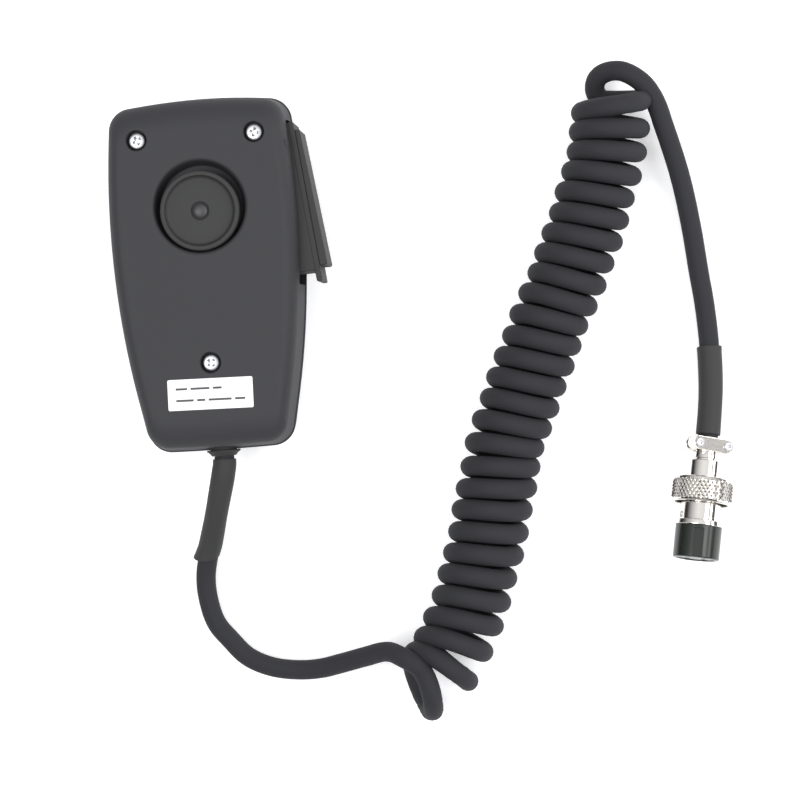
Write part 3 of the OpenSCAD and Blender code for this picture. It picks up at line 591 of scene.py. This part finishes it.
class HANDMIC_OT_rear_cover(bpy.types.Operator):
    """Moulded rear cover with its button recess, screw wells and lever slot"""

    bl_idname = "hand_mic.rear_cover"
    bl_label = "Rear cover"

    def execute(self, context):
        s = sizes(context)
        w, z0 = s.wall, s.rear_z - s.round_h
        step = SEAM_STEP
        outer = [outline(s, step + s.edge_r * (1 - h), step + s.edge_r * (1 - h), s.seam_z + s.edge_r * k)
            for k, h in quarter(3)]
        outer += [outline(s, DRAFT + (s.side_round - DRAFT) * k, DRAFT + (s.end_round - DRAFT) * k,
            z0 + s.round_h * h) for k, h in quarter(14)]
        outer += support_rings(s, s.side_round, s.end_round, s.rear_z)
        inner = [outline(s, step + w, step + w, s.seam_z)]
        inner += [outline(s, DRAFT + w + (s.side_round - DRAFT) * k, DRAFT + w + (s.end_round - DRAFT) * k,
            z0 + (s.round_h - w) * h) for k, h in quarter(6)]
        o = lofted("rear_cover_mould", inner[::-1] + outer)
        top = s.rear_z
        cup = [(0, 20), (3.2, 20), (3.2, 28), (s.recess_r + 1.6, 28), (s.recess_r + 1.6, 35), (0, 35)]
        fused(o, moved(turned("cup", cup, 96), 0, RECESS_Y))
        for x, y, _ in SCREW_PLACES:
            fused(o, moved(rod("well", s.well_r + 1.1, 30.3, 35, 48), x, y))
        fused(o, moved(rod("pivot", PIVOT_EYE_R, 28.3, 33, 32), *PIVOT))
        rim = s.recess_r - 0.05
        lip = [(rim - 0.3, top - 0.72), (rim - 0.13, top - 0.42), (rim + 0.13, top - 0.18),
            (rim + 0.45, top - 0.04)]
        recess = [(0, RECESS_FLOOR), *arc(s.recess_r - 1.9, RECESS_FLOOR + 0.6, 0.6, -90, -12, 4),
            (s.recess_r - 0.5, top - 1.1), *lip, (rim + 0.8, top + 0.001), (rim + 0.8, top + 2),
            (0, top + 2)]
        cut(o, moved(turned("recess", recess, 128), 0, RECESS_Y))
        r = s.well_r
        well = [(0, 29), (1.5, 29), (1.5, WELL_FLOOR), (r, WELL_FLOOR), (r, top - 0.35),
            (r + 0.06, top - 0.14), (r + 0.18, top - 0.03), (r + 0.32, top + 0.001), (r + 0.32, top + 2),
            (0, top + 2)]
        for x, y, _ in SCREW_PLACES:
            cut(o, moved(turned("well_hole", well, 64), x, y))
        cut(o, slot_cutter())
        cut(o, gland_cutter())
        finished(o, "rear_cover_moulding", "housing_plastic", "root", ["rear_cover"], HOUSING)
        return {"FINISHED"}


class HANDMIC_OT_hang_button(bpy.types.Operator):
    """Hang button with a raised lip, and the domed screw in its middle"""

    bl_idname = "hand_mic.hang_button"
    bl_label = "Hang button"

    def execute(self, context):
        s = sizes(context)
        r, lip, face = s.button_r, s.rear_z + 0.8, s.rear_z
        stem = [(1.5, RECESS_FLOOR), (6, RECESS_FLOOR), *arc(6.6, 32.4, 0.6, 180, 90, 4), (r - 0.5, 33)]
        rim = arc(r - 0.4, 33.4, 0.4, -90, 0, 4) + arc(r - 0.55, lip - 0.55, 0.55, 0, 90, 6)
        rim += arc(r - 1.05, lip - 0.4, 0.4, 90, 165, 5)
        groove = [(r - 1.6, face - 0.1), *arc(r - 2.5, face + 0.15, 0.85, -25, -90, 6),
            (r - 3.4, face - 0.6)]
        disc = [(7.5, face - 0.5), (5.2, face - 0.45), (3.4, face - 0.45)]
        bore = [*arc(2.95, face - 0.75, 0.3, 90, 180, 5), (2.62, 34.9), (2.5, 34.8), (1.5, 34.8),
            (1.5, RECESS_FLOOR)]
        profile = stem + rim + groove + disc + bore
        place = HOUSING @ Matrix.Translation((0, BUTTON_Y, 0))
        finished(turned("button", profile, 128), "hang_button_turned", "button_plastic", "root",
            ["hang_button"], place)
        turns = [math.radians(t) for t in range(0, 90, 10)]
        crown = [(2.25 * math.cos(t), 34.95 + 0.85 * math.sin(t)) for t in turns]
        dome = [(0, 21.2), (1.0, 21.2), (1.3, 21.8), (1.3, 34.8), (2.2, 34.8), (2.25, 34.9), *crown,
            (0, 35.8)]
        finished(turned("dome", dome, 64), "button_screw_dome", "dark_screw", "root",
            ["hang_button_screw"], place)
        return {"FINISHED"}


def cross_screw(name, head_r, head_h, shank_r, shank_len, bite, pitch=0.55):
    """Pan-head screw with a cross recess and a threaded shank, its head seated at zero."""
    thread, z = [], -shank_len + 0.8
    while z < -1.2:
        thread += [(shank_r - 0.22, z), (shank_r, z + pitch / 2)]
        z += pitch
    head = arc(head_r - 0.15, 0.15, 0.15, -90, 0, 2)
    soft = 0.3 * head_h
    crown = arc(head_r - soft, head_h - soft - 0.12, soft, 0, 70, 5) + [
        (head_r * 0.6, head_h - 0.04), (head_r * 0.3, head_h - 0.01)]
    profile = [(0, -shank_len), (shank_r * 0.35, -shank_len), *thread, (shank_r, -0.9), (shank_r, 0), *head,
        *crown, (0, head_h)]
    o = turned(name, profile, 48)
    long, wide = head_r * 0.62, head_r * 0.17
    for turn in (0, 90):
        blade = [(-long, -wide), (long, -wide), (long, wide), (-long, wide)]
        low = [Vector((x * 0.45, y * 0.7, head_h - bite)) for x, y in blade]
        high = [Vector((x * 1.05, y * 1.1, head_h + 0.3)) for x, y in blade]
        cut(o, shift(lofted("blade", [low, high]), Matrix.Rotation(math.radians(turn), 4, "Z")))
    return o


class HANDMIC_OT_housing_screws(bpy.types.Operator):
    """Three bright cross-head screws in the wells of the rear cover"""

    bl_idname = "hand_mic.housing_screws"
    bl_label = "Housing screws"

    def execute(self, context):
        s = sizes(context)
        first = cross_screw("screw", s.screw_r, 1.8, 1.3, 12, 1.1)
        for k, (x, y, turn) in enumerate(SCREW_PLACES):
            name = f"housing_screw_{k + 1}"
            place = Matrix.Translation((x, y, WELL_FLOOR)) @ Matrix.Rotation(math.radians(turn), 4, "Z")
            o = copy_of(first, place, name)
            finished(o, name, "bright_steel", "root", ["housing_screws"], HOUSING, angle=28)
        bpy.data.objects.remove(first)
        return {"FINISHED"}


class HANDMIC_OT_label(bpy.types.Operator):
    """White paper label with two rows of plain printed dashes"""

    bl_idname = "hand_mic.label"
    bl_label = "Rear label"

    def execute(self, context):
        s = sizes(context)
        turn = Matrix.Rotation(math.radians(-1.2), 4, "Z")
        place = HOUSING @ Matrix.Translation((-0.6, -35.8, s.rear_z)) @ turn
        plan = []
        for cx, cy, a in [(12.1, -4.05, -90), (12.1, 4.05, 0), (-12.1, 4.05, 90), (-12.1, -4.05, 180)]:
            plan += arc(cx, cy, 0.5, a, a + 90, 5)
        o = bevelled(prism("paper", plan, 0.0, 0.12), 0.03, 2)
        finished(o, "rear_label_paper", "label_paper", "root", ["rear_label"], place)
        dashes = []
        for y, lengths in [(1.7, (3.4, 5.6, 2.6)), (-1.7, (5.2, 2.4, 6.8, 3.0))]:
            x = -10.2
            for length in lengths:
                dashes.append(block("dash", (x, y - 0.32, 0.118), (x + length, y + 0.32, 0.13)))
                x += length + 1.0
        finished(joined(dashes), "label_print", "dark_screw", "root", (), place)
        return {"FINISHED"}


# ---------------------------------------------------------------- lever


def plate_x(y):
    """Where the outer face of the lever's plate stands at y."""
    return 28.4 + (42.8 - y) * 0.1155


class HANDMIC_OT_lever(bpy.types.Operator):
    """Push-to-talk lever with its side walls and lip, and the grip plate on it"""

    bl_idname = "hand_mic.lever"
    bl_label = "Push-to-talk lever"

    def execute(self, context):
        s = sizes(context)
        z0, z1 = s.seam_z - s.lever_w / 2, s.seam_z + s.lever_w / 2
        top, low, lip, t = 42.8, -1.5, -4.8, s.plate_t
        inner_low = half_width(s, low) - 5.4
        wedge = prism("wedge", [(PIVOT[0] - 2, top - 1.2), (plate_x(top) - 0.4, top),
            (plate_x(low) - 0.4, low), (inner_low, low - 0.4)], z0 + 0.15, z1 - 0.15)
        bevelled(wedge, 0.35)
        room = prism("room", [(16, top - 2.6), (plate_x(top) - t, top - 2.6),
            (plate_x(low) - t, low + 1.5), (16, low + 1.5)], z0 + 1.5, z1 - 1.5)
        cut(wedge, room)
        plate = prism("plate", [(plate_x(top) - t, top), (plate_x(top), top), (plate_x(lip), lip),
            (plate_x(lip) - t, lip)], z0, z1)
        fused(wedge, bevelled(plate, 0.4))
        for z in (z0, z1 - 3):
            eye = [(0, z), (2.1, z), (2.3, z + 0.2), (2.3, z + 2.8), (2.1, z + 3), (0, z + 3)]
            fused(wedge, moved(turned("eye", eye, 40), *PIVOT))
        fused(wedge, block("rib", (19.5, 1.8, s.seam_z - 2), (plate_x(3) - t / 2, 4.2, s.seam_z + 2), 0.2))
        x1 = half_width(s, low - 4.4) - s.wall - SEAM_STEP - 0.35
        lug = (inner_low, low - 4.4, s.seam_z - 3), (x1, low + 1.6, s.seam_z + 3)
        fused(wedge, block("lug", *lug, 0.25))
        cut(wedge, moved(rod("bore", 1.06, 0, 40, 32), *PIVOT))
        finished(wedge, "ptt_lever_moulding", "lever_plastic", "ptt", ["ptt_lever"], HOUSING)

        g0, g1 = 40.4, -0.1
        plan = [(plate_x(g0), g0), (plate_x(g0) + 1.5, g0), (35.7, g1 + 0.35), (35.2, g1),
            (plate_x(g1), g1)]
        grip = prism("grip", plan, s.seam_z - (s.lever_w - 1) / 2, s.seam_z + (s.lever_w - 1) / 2)
        bevelled(grip, 0.45, 4, 25)
        finished(grip, "ptt_grip_moulding", "lever_plastic", "ptt", ["ptt_grip_plate"], HOUSING)
        return {"FINISHED"}


class HANDMIC_OT_spring(bpy.types.Operator):
    """Coiled return spring behind the lever"""

    bl_idname = "hand_mic.spring"
    bl_label = "Return spring"

    def execute(self, context):
        lo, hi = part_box("ptt_return_spring")
        wire = 0.3 * MM
        turns, steps = 6.5, 24
        r = (hi.z - lo.z) / 2 - wire
        middle = (lo + hi) / 2
        points = []
        for k in range(int(turns * steps) + 1):
            share = k / (turns * steps)
            closed = 0.5 - 0.5 * math.cos(math.pi * min(1, max(0, (share - 0.12) / 0.76)))
            a = math.tau * k / steps
            points.append((lo.x + wire + (hi.x - lo.x - 2 * wire) * (0.35 * share + 0.65 * closed),
                middle.y + r * math.cos(a), middle.z + r * math.sin(a)))
        o = tube_curve("return_spring_wire", points, wire, 4)
        only(o)
        bpy.ops.object.convert(target="MESH")
        o = bpy.context.object
        bpy.ops.object.shade_smooth()
        dress(o, "bright_steel")
        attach(o, "root")
        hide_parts("ptt_return_spring")
        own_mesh(o)
        return {"FINISHED"}


# ---------------------------------------------------------------- cord


def tube_curve(name, points, radius, rounds):
    """A round tube along points in metres: a curve of one open spline."""
    data = bpy.data.curves.new(name, "CURVE")
    data.dimensions = "3D"
    data.bevel_depth = radius
    data.bevel_resolution = rounds
    data.use_fill_caps = True
    line = data.splines.new("POLY")
    line.points.add(len(points) - 1)
    for p, co in zip(line.points, points):
        p.co = (*co, 1)
    line.use_smooth = True
    o = bpy.data.objects.new(name, data)
    bpy.context.scene.collection.objects.link(o)
    return o


def through(points, step=1.0):
    """A smooth line through the points, as close points in millimetres."""
    pts = [Vector(p) for p in points]
    pts = [2 * pts[0] - pts[1], *pts, 2 * pts[-1] - pts[-2]]
    line = []
    for p0, p1, p2, p3 in zip(pts, pts[1:], pts[2:], pts[3:]):
        t = [0.0]
        for a, b in ((p0, p1), (p1, p2), (p2, p3)):
            t.append(t[-1] + max((b - a).length, 0.001) ** 0.5)
        n = max(2, round((p2 - p1).length / step))
        for k in range(n):
            u = t[1] + (t[2] - t[1]) * k / n
            a1 = p0.lerp(p1, (u - t[0]) / (t[1] - t[0]))
            a2 = p1.lerp(p2, (u - t[1]) / (t[2] - t[1]))
            a3 = p2.lerp(p3, (u - t[2]) / (t[3] - t[2]))
            b1 = a1.lerp(a2, (u - t[0]) / (t[2] - t[0]))
            b2 = a2.lerp(a3, (u - t[1]) / (t[3] - t[1]))
            line.append(b1.lerp(b2, (u - t[1]) / (t[2] - t[1])))
    return line + [pts[-2]]


def along(line):
    """Distance of each point from the start of a line."""
    total = [0.0]
    for a, b in zip(line, line[1:]):
        total.append(total[-1] + (b - a).length)
    return total


TURNS = 27
PITCH = 6.6
FIRST_TURN = math.radians(-30)
LAST_TURN = math.radians(172)
START_AT = 2.9
SLACK_TURNS = 2.2  # how quickly the turns close up
LEAN = 0.62
LEAN_TURNS = 2  # how quickly they stand up straight


def helix(radius, steps=44):
    """The curl's turns around its axis; they stand wider apart, and lean, at the handset's end."""
    axis = through(CURL_ROUTE, 0.5)
    reach = along(axis)
    first, last = FIRST_TURN, math.tau * TURNS + LAST_TURN
    count = int((last - first) / math.tau * steps)
    turns = (last - first) / math.tau
    extra = reach[-1] - START_AT - PITCH * turns
    points, j = [], 0
    for k in range(count + 1):
        n = turns * k / count
        loose = (1 - math.exp(-n / SLACK_TURNS)) / (1 - math.exp(-turns / SLACK_TURNS))
        at = START_AT + PITCH * n + extra * loose
        while j < len(reach) - 2 and reach[j + 1] < at:
            j += 1
        share = (at - reach[j]) / (reach[j + 1] - reach[j])
        centre = axis[j].lerp(axis[j + 1], share)
        ahead = (axis[min(j + 4, len(axis) - 1)] - axis[max(j - 3, 0)]).normalized()
        side = ahead.cross(Vector((0, 0, 1)))
        a = first + n * math.tau
        lean = LEAN * math.exp(-n / LEAN_TURNS)
        sway = 0.35 * math.sin(n * 2.1) + 0.2 * math.sin(n * 5.3 + 1)
        up = radius * math.cos(a)
        across = radius * math.sin(a) + sway * 0.5
        points.append(centre + Vector((0, 0, up)) + side * across + ahead * up * lean)
    return points


def cord_line(s):
    """The cord's whole centreline in millimetres, from the gland into the plug, never under the floor."""
    coil = helix(s.curl_r)
    plug_end = PLUG_AT + 6 * (PLUG.to_3x3() @ Vector((0, 0, 1)))
    lead = through([*LEAD_ROUTE, coil[0], coil[4]])
    lead = lead[:min(range(len(lead)), key=lambda k: (lead[k] - coil[0]).length)]
    tail = through([coil[-5], coil[-1], *TAIL_ROUTE, PLUG_AT, plug_end])
    tail = tail[min(range(40), key=lambda k: (tail[k] - coil[-1]).length) + 1:]
    line = [lead[0]]
    for p in lead[1:] + coil + tail:
        if (p - line[-1]).length > 0.5:
            line.append(Vector((p.x, p.y, max(p.z, s.cord_r))))
    return line


class HANDMIC_OT_cord(bpy.types.Operator):
    """Curly cord from the gland to the plug, one smooth centreline at its full length"""

    bl_idname = "hand_mic.cord"
    bl_label = "Curly cord"

    def execute(self, context):
        s = sizes(context)
        line = cord_line(s)
        o = tube_curve("curly_cord", [p * MM for p in line], s.cord_r * MM, 7)
        dress(o, "cord_jacket")
        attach(o, "root")
        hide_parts("cord_lead", "cord_curl", "cord_tail")
        dress(frame["nodes"]["cord_entry"], "cord_jacket")
        o["length_mm"] = along(line)[-1]
        return {"FINISHED"}


def sleeve_rings(line, radius, inner, rounds, end_slope):
    """Rings of a sleeve along a line: out along its outside and back along its bore."""
    def ring(k, r, slope):
        ahead = (line[min(k + 1, len(line) - 1)] - line[max(k - 1, 0)]).normalized()
        side = ahead.cross(Vector((0, 0, 1))).normalized()
        up = side.cross(ahead)
        made = []
        for j in range(rounds):
            a = math.tau * j / rounds
            out = math.cos(a) * side + math.sin(a) * up
            made.append(line[k] + r(a) * out + ahead * slope * math.cos(a))
        return made

    last = len(line) - 1
    outside = [ring(k, lambda a, k=k: radius(k / last, a), end_slope * max(0, (k / last - 0.7) / 0.3) ** 2)
        for k in range(last + 1)]
    inside = [ring(k, lambda a: inner, end_slope * max(0, (k / last - 0.7) / 0.3) ** 2)
        for k in range(last, -1, -1)]
    return outside + inside + [outside[0]]


class HANDMIC_OT_sleeves(bpy.types.Operator):
    """Shrink sleeves on the cord at the handset and at the plug"""

    bl_idname = "hand_mic.sleeves"
    bl_label = "Cord sleeves"

    def execute(self, context):
        s = sizes(context)
        line = cord_line(s)
        reach = along(line)
        near = [p for p, d in zip(line, reach) if 0.2 < d < 34.5]

        def flared(share, a):
            """The handset's sleeve is snug, and stands off at its end, most on the left."""
            lift = max(0.0, (share - 0.86) / 0.14) ** 1.6
            return 3.5 + 0.08 * math.sin(9 * share) + lift * (0.35 + 0.55 * math.cos(a))

        o = lofted("sleeve", sleeve_rings(near, flared, s.cord_r + 0.02, 40, 1.1), caps=False)
        finished(o, "handset_shrink_sleeve", "shrink_tube", "root", ["handset_sleeve"], angle=40)
        start = min(range(len(line)), key=lambda k: (line[k] - Vector(TAIL_ROUTE[-2])).length)
        end = min(range(len(line)), key=lambda k: (line[k] - PLUG_AT).length)
        far = line[start:end]

        def ridged(share, a):
            """The plug's sleeve shows two soft lengthwise ridges of the wires under it."""
            ends = 0.12 * math.exp(-((share - 0.02) / 0.03) ** 2)
            return 3.62 + 0.1 * max(0, math.cos(3 * a + 0.6)) ** 3 + ends + 0.04 * math.sin(7 * share)

        o = lofted("sleeve", sleeve_rings(far, ridged, s.cord_r + 0.02, 48, 0.0), caps=False)
        finished(o, "plug_shrink_sleeve", "shrink_tube", "root", ["plug_sleeve"], angle=40)
        return {"FINISHED"}


class HANDMIC_OT_gland(bpy.types.Operator):
    """Rubber gland in the cord end of the housing"""

    bl_idname = "hand_mic.gland"
    bl_label = "Cord gland"

    def execute(self, context):
        profile = [(CORD_BORE_R, -1.9), (3.4, -1.9), *arc(3.5, -1.65, 0.25, -90, -20, 3), (4.1, -1.2),
            (4.7, -0.75), *arc(4.85, -0.35, 0.25, -30, 90, 4), (4.0, -0.05), (4.0, 3), (5.0, 3), (5.1, 3.1),
            (5.1, 4.7), (5.0, 4.8), (CORD_BORE_R, 4.8), (CORD_BORE_R, -1.9)]
        place = Matrix.Translation((ORIGIN_X, -52.5, 19.5)) @ Matrix.Rotation(math.radians(-90), 4, "X")
        finished(turned("gland", profile, 72), "cord_gland_rubber", "soft_rubber", "root",
            ["cord_gland"], place)
        return {"FINISHED"}


# ---------------------------------------------------------------- plug


class HANDMIC_OT_plug_shells(bpy.types.Operator):
    """Nickel-plated rear and front shells of the plug"""

    bl_idname = "hand_mic.plug_shells"
    bl_label = "Plug shells"

    def execute(self, context):
        neck = [(CORD_BORE_R, 4.5), (3.7, 4.5), *arc(3.7, 4.9, 0.2, -90, 0, 2), (3.9, 6.6), (3.55, 6.75),
            (3.55, 7.15), (4.6, 7.3), *arc(4.8, 7.6, 0.3, -90, 0, 4), (5.1, 17.1), (4.9, 17.3), (4.1, 17.3),
            (4.1, 8.5), (CORD_BORE_R, 8.5), (CORD_BORE_R, 4.5)]
        o = turned("neck", neck, 96)
        fused(o, clamp_jaw("jaw", -4.4, -0.5))
        cut(o, rod("bore", CORD_BORE_R, -1, 9, 48))
        finished(o, "plug_rear_shell_turned", "bright_nickel", "root", ["plug_rear_shell"], PLUG, angle=28)
        shell = [(5.15, 13), (5.8, 13), (6, 13.2), (6, 25.1), (6.05, 25.35), (6.3, 25.5),
            *arc(7.2, 25.7, 0.2, -90, 0, 3), *arc(7.2, 26.8, 0.2, 0, 90, 3), (5.15, 27), (5.15, 13)]
        o = turned("shell", shell, 96)
        hole = shift(rod("hole", 0.95, 4, 8, 32), set_screw_place())
        cut(o, hole)
        finished(o, "plug_front_shell_turned", "bright_nickel", "root", ["plug_front_shell"], PLUG,
            angle=28)
        dress(frame["nodes"]["plug_set_screw"], "bright_steel")
        return {"FINISHED"}


def set_screw_place():
    """Radial axis of the grub screw in the front shell."""
    return Matrix.Rotation(math.radians(160), 4, "Z") @ Matrix.Translation((0, 0, 24)) @ Matrix.Rotation(
        math.radians(90), 4, "Y")


def clamp_jaw(name, y0, y1):
    """Half of the cord clamp: a bar with round ends across the cord."""
    plan = arc(4.7, 0, 2.1, -90, 90, 12) + arc(-4.7, 0, 2.1, 90, 270, 12)
    o = bevelled(prism(name, plan, y0, y1), 0.3, 3)
    return shift(o, Matrix.Rotation(CLAMP_ROLL, 4, "Z") @ Matrix.Translation((0, 0, 2.5)) @ Matrix.Rotation(
        math.radians(-90), 4, "X"))


class HANDMIC_OT_cord_clamp(bpy.types.Operator):
    """Clamp bar of the plug with its two screws"""

    bl_idname = "hand_mic.plug_clamp"
    bl_label = "Plug cord clamp"

    def execute(self, context):
        o = clamp_jaw("bar", 0.5, 4.4)
        cut(o, rod("bore", CORD_BORE_R, -1, 9, 48))
        finished(o, "plug_clamp_bar_cast", "bright_nickel", "root", ["plug_clamp_bar"], PLUG, angle=28)
        first = cross_screw("screw", 1.35, 0.9, 0.75, 8, 0.5, 0.4)
        for k, x in enumerate((-4.7, 4.7)):
            name = f"plug_clamp_screw_{k + 1}"
            seat = Matrix.Translation((x, 4.4, 2.5)) @ Matrix.Rotation(math.radians(-90), 4, "X")
            turn = Matrix.Rotation(math.radians(20 + 35 * k), 4, "Z")
            place = Matrix.Rotation(CLAMP_ROLL, 4, "Z") @ seat @ turn
            finished(copy_of(first, place, name), name, "bright_steel", "root", ["plug_clamp_screws"], PLUG,
                angle=28)
        bpy.data.objects.remove(first)
        return {"FINISHED"}


class HANDMIC_OT_lock_ring(bpy.types.Operator):
    """Knurled locking ring, open towards the nose of the plug"""

    bl_idname = "hand_mic.lock_ring"
    bl_label = "Locking ring"

    def execute(self, context):
        s = sizes(context)
        r, z0, z1 = s.ring_r, 12.6, 20.2
        teeth, rows, band = 44, 18, (z0 + 0.9, z1 - 0.7)
        grip = [(r - 0.02, band[0] + (band[1] - band[0]) * k / rows) for k in range(rows + 1)]
        profile = [(6.25, z0), (r - 0.9, z0), *arc(r - 0.6, z0 + 0.55, 0.5, -110, -10, 4), *grip,
            *arc(r - 0.5, z1 - 0.45, 0.4, 10, 90, 4), (7.95, z1), *arc(8.15, z1 - 0.25, 0.25, 90, 180, 3),
            (7.9, z0 + 2.1), (7.6, z0 + 1.8), (6.25, z0 + 1.8), (6.25, z0)]
        o = turned("ring", profile, teeth * 6)
        for v in o.data.vertices:
            flat = math.hypot(v.co.x, v.co.y)
            if flat > r - 0.05 and band[0] - 0.01 < v.co.z < band[1] + 0.01:
                u = teeth * math.atan2(v.co.y, v.co.x) / math.tau
                w = 3 * (v.co.z - band[0]) / (band[1] - band[0])
                deep = max(abs((u + w) % 1 - 0.5), abs((u - w) % 1 - 0.5)) * 2
                edge = min(1.0, (v.co.z - band[0]) / 0.3, (band[1] - v.co.z) / 0.3)
                k = (flat - 0.5 * (deep * edge + (1 - edge) * 0.5)) / flat
                v.co.x, v.co.y = v.co.x * k, v.co.y * k
        finished(o, "lock_ring_knurled", "bright_nickel", "lock_ring", ["lock_ring"], PLUG, angle=24)
        return {"FINISHED"}


class HANDMIC_OT_barrel(bpy.types.Operator):
    """Glossy insulating barrel with its keyway and four sockets, and the contacts in it"""

    bl_idname = "hand_mic.barrel"
    bl_label = "Plug barrel"

    def execute(self, context):
        s = sizes(context)
        r, z0, z1 = s.barrel_r, 27.0, 36.8
        profile = [(0, 19), (5.1, 19), (5.1, z0), *arc(r - 0.15, z0 + 0.15, 0.15, -90, 0, 2),
            *arc(r - 0.5, z1 - 0.5, 0.5, 0, 90, 6), (5.9, z1), (5.7, z1 - 0.25), (0, z1 - 0.25)]
        o = turned("barrel", profile, 128)
        cut(o, block("key", (-1.5, r - 0.7, z0 + 1), (1.5, r + 2, z1 + 2), 0.12))
        for k in range(4):
            a = math.radians(45 + 90 * k)
            x, y = 3.5 * math.cos(a), 3.5 * math.sin(a)
            socket = [(0, 18), (1.2, 18), (1.2, z1 - 0.5), (0.95, z1 - 0.5), (0.95, z1 - 0.4),
                (1.15, z1 - 0.2), (1.15, z1 + 1), (0, z1 + 1)]
            cut(o, moved(turned("socket", socket, 32), x, y))
        finished(o, "plug_barrel_moulded", "barrel_resin", "root", ["plug_insulator"], PLUG, angle=28)
        dress(frame["nodes"]["plug_contacts"], "contact_brass")
        return {"FINISHED"}


# Pieces that keep their solid's own shape, and their finishes
INNER = {
    "grille_cloth": "grille_felt", "capsule_boot": "soft_rubber", "microphone_capsule": "bright_steel",
    "capsule_retainer": "bright_steel", "retainer_screws": "bright_steel", "ptt_pivot_pin": "bright_steel",
    "switch_body": "switch_plastic", "switch_plunger": "plunger_plastic",
    "switch_terminals": "contact_brass", "switch_screws": "bright_steel", "cord_clamp": "bright_steel",
    "cord_clamp_screws": "bright_steel", "inner_wires": "wire_pvc",
}


class HANDMIC_OT_inner_pieces(bpy.types.Operator):
    """Finishes of the pieces inside the housing"""

    bl_idname = "hand_mic.inner_pieces"
    bl_label = "Inner pieces"

    def execute(self, context):
        for name, slot in INNER.items():
            dress(frame["nodes"][name], slot)
        return {"FINISHED"}


# ---------------------------------------------------------------- stage


CAMERA_AIM = Vector((0.04977, -0.04144, 0.0115))
CAMERA_PLACE = Vector((CAMERA_AIM.x + 0.0638, CAMERA_AIM.y - 0.0045, 0.9))
CAMERA_UP = Vector((0.0703, 0.9975, 0))
CAMERA_LENS = 133.5
FLOOR_GLOW = 0.34
LIT_PLACE = (0.05, -0.03, 0)
LIGHTS = [  # place, width, height and watts
    ("left", (-0.48, -0.08, 1.5), 0.6, 0.8, 10),
    ("right", (0.95, 0.05, 1.05), 1.6, 0.4, 9),
    ("low_right", (0.85, 0.0, 0.36), 0.9, 0.12, 1.8),
]


def soft_light(name, place, width, height, watts):
    data = bpy.data.lights.new(name, "AREA")
    data.shape = "RECTANGLE"
    data.size, data.size_y, data.energy = width, height, watts
    o = bpy.data.objects.new(name, data)
    bpy.context.scene.collection.objects.link(o)
    o.location = place
    o.rotation_euler = (Vector(LIT_PLACE) - Vector(place)).to_track_quat("-Z", "Y").to_euler()


def studio_world():
    """Pale surroundings, bright overhead and dark towards the horizon."""
    world = bpy.data.worlds.new("studio")
    world.use_nodes = True
    tree = world.node_tree
    height = node(tree, "SeparateXYZ", {0: node(tree, "TexCoord").outputs["Generated"]}).outputs["Z"]
    fade = node(tree, "MapRange", {
        "Value": height, "From Min": 0.2, "From Max": 1, "To Min": 0.1, "To Max": 1.05})
    background = tree.nodes["Background"]
    background.inputs["Color"].default_value = (0.97, 0.98, 1.0, 1)
    tree.links.new(fade.outputs["Result"], background.inputs["Strength"])
    return world


class HANDMIC_OT_stage(bpy.types.Operator):
    """Camera, pale floor and soft studio light"""

    bl_idname = "hand_mic.stage"
    bl_label = "Stage"

    def execute(self, context):
        scene = context.scene
        data = bpy.data.cameras.new("camera")
        data.sensor_width, data.lens = 36, CAMERA_LENS
        camera = bpy.data.objects.new("camera", data)
        back = (CAMERA_PLACE - CAMERA_AIM).normalized()
        right = CAMERA_UP.cross(back).normalized()
        turn = Matrix((right, back.cross(right), back)).transposed()
        camera.matrix_world = Matrix.Translation(CAMERA_PLACE) @ turn.to_4x4()
        scene.collection.objects.link(camera)
        scene.camera = camera
        clear_selection()
        bpy.ops.mesh.primitive_plane_add(size=8, location=(0.05, -0.04, -0.0003))
        floor = bpy.context.object
        floor.name = "floor"
        paper = surface("floor_paper", palette().floor, 0.7, 300, 0.05, patches=2, swing=0.01)
        floor.data.materials.append(paper)
        shader = paper.node_tree.nodes["Principled BSDF"]
        shader.inputs["Emission Color"].default_value = (1, 1, 1, 1)
        shader.inputs["Emission Strength"].default_value = FLOOR_GLOW
        scene.world = studio_world()
        scene.view_settings.view_transform = "Standard"
        for light in LIGHTS:
            soft_light(*light)
        return {"FINISHED"}


# ---------------------------------------------------------------- add-on


OPERATORS = [
    HANDMIC_OT_stage, HANDMIC_OT_cord, HANDMIC_OT_sleeves, HANDMIC_OT_gland, HANDMIC_OT_front_shell,
    HANDMIC_OT_rear_cover, HANDMIC_OT_hang_button, HANDMIC_OT_housing_screws, HANDMIC_OT_label,
    HANDMIC_OT_lever, HANDMIC_OT_spring, HANDMIC_OT_inner_pieces, HANDMIC_OT_plug_shells,
    HANDMIC_OT_cord_clamp, HANDMIC_OT_lock_ring, HANDMIC_OT_barrel,
]


class HANDMIC_PT_panel(bpy.types.Panel):
    bl_idname = "HANDMIC_PT_panel"
    bl_label = "Hand Microphone"
    bl_space_type = "VIEW_3D"
    bl_region_type = "UI"
    bl_category = "Hand Mic"

    def draw(self, context):
        for group in (context.scene.hand_mic_sizes, context.scene.hand_mic_colours):
            box = self.layout.box()
            for name in type(group).__annotations__:
                box.prop(group, name)
        for operator in OPERATORS:
            self.layout.operator(operator.bl_idname)


CLASSES = [HandMicSizes, HandMicColours, *OPERATORS, HANDMIC_PT_panel]


def register():
    for c in CLASSES:
        bpy.utils.register_class(c)
    bpy.types.Scene.hand_mic_sizes = bpy.props.PointerProperty(type=HandMicSizes)
    bpy.types.Scene.hand_mic_colours = bpy.props.PointerProperty(type=HandMicColours)


def unregister():
    del bpy.types.Scene.hand_mic_colours
    del bpy.types.Scene.hand_mic_sizes
    for c in reversed(CLASSES):
        bpy.utils.unregister_class(c)


def main():
    register()
    for operator in OPERATORS:
        group, name = operator.bl_idname.split(".")
        getattr(getattr(bpy.ops, group), name)()


if __name__ == "__main__":
    main()
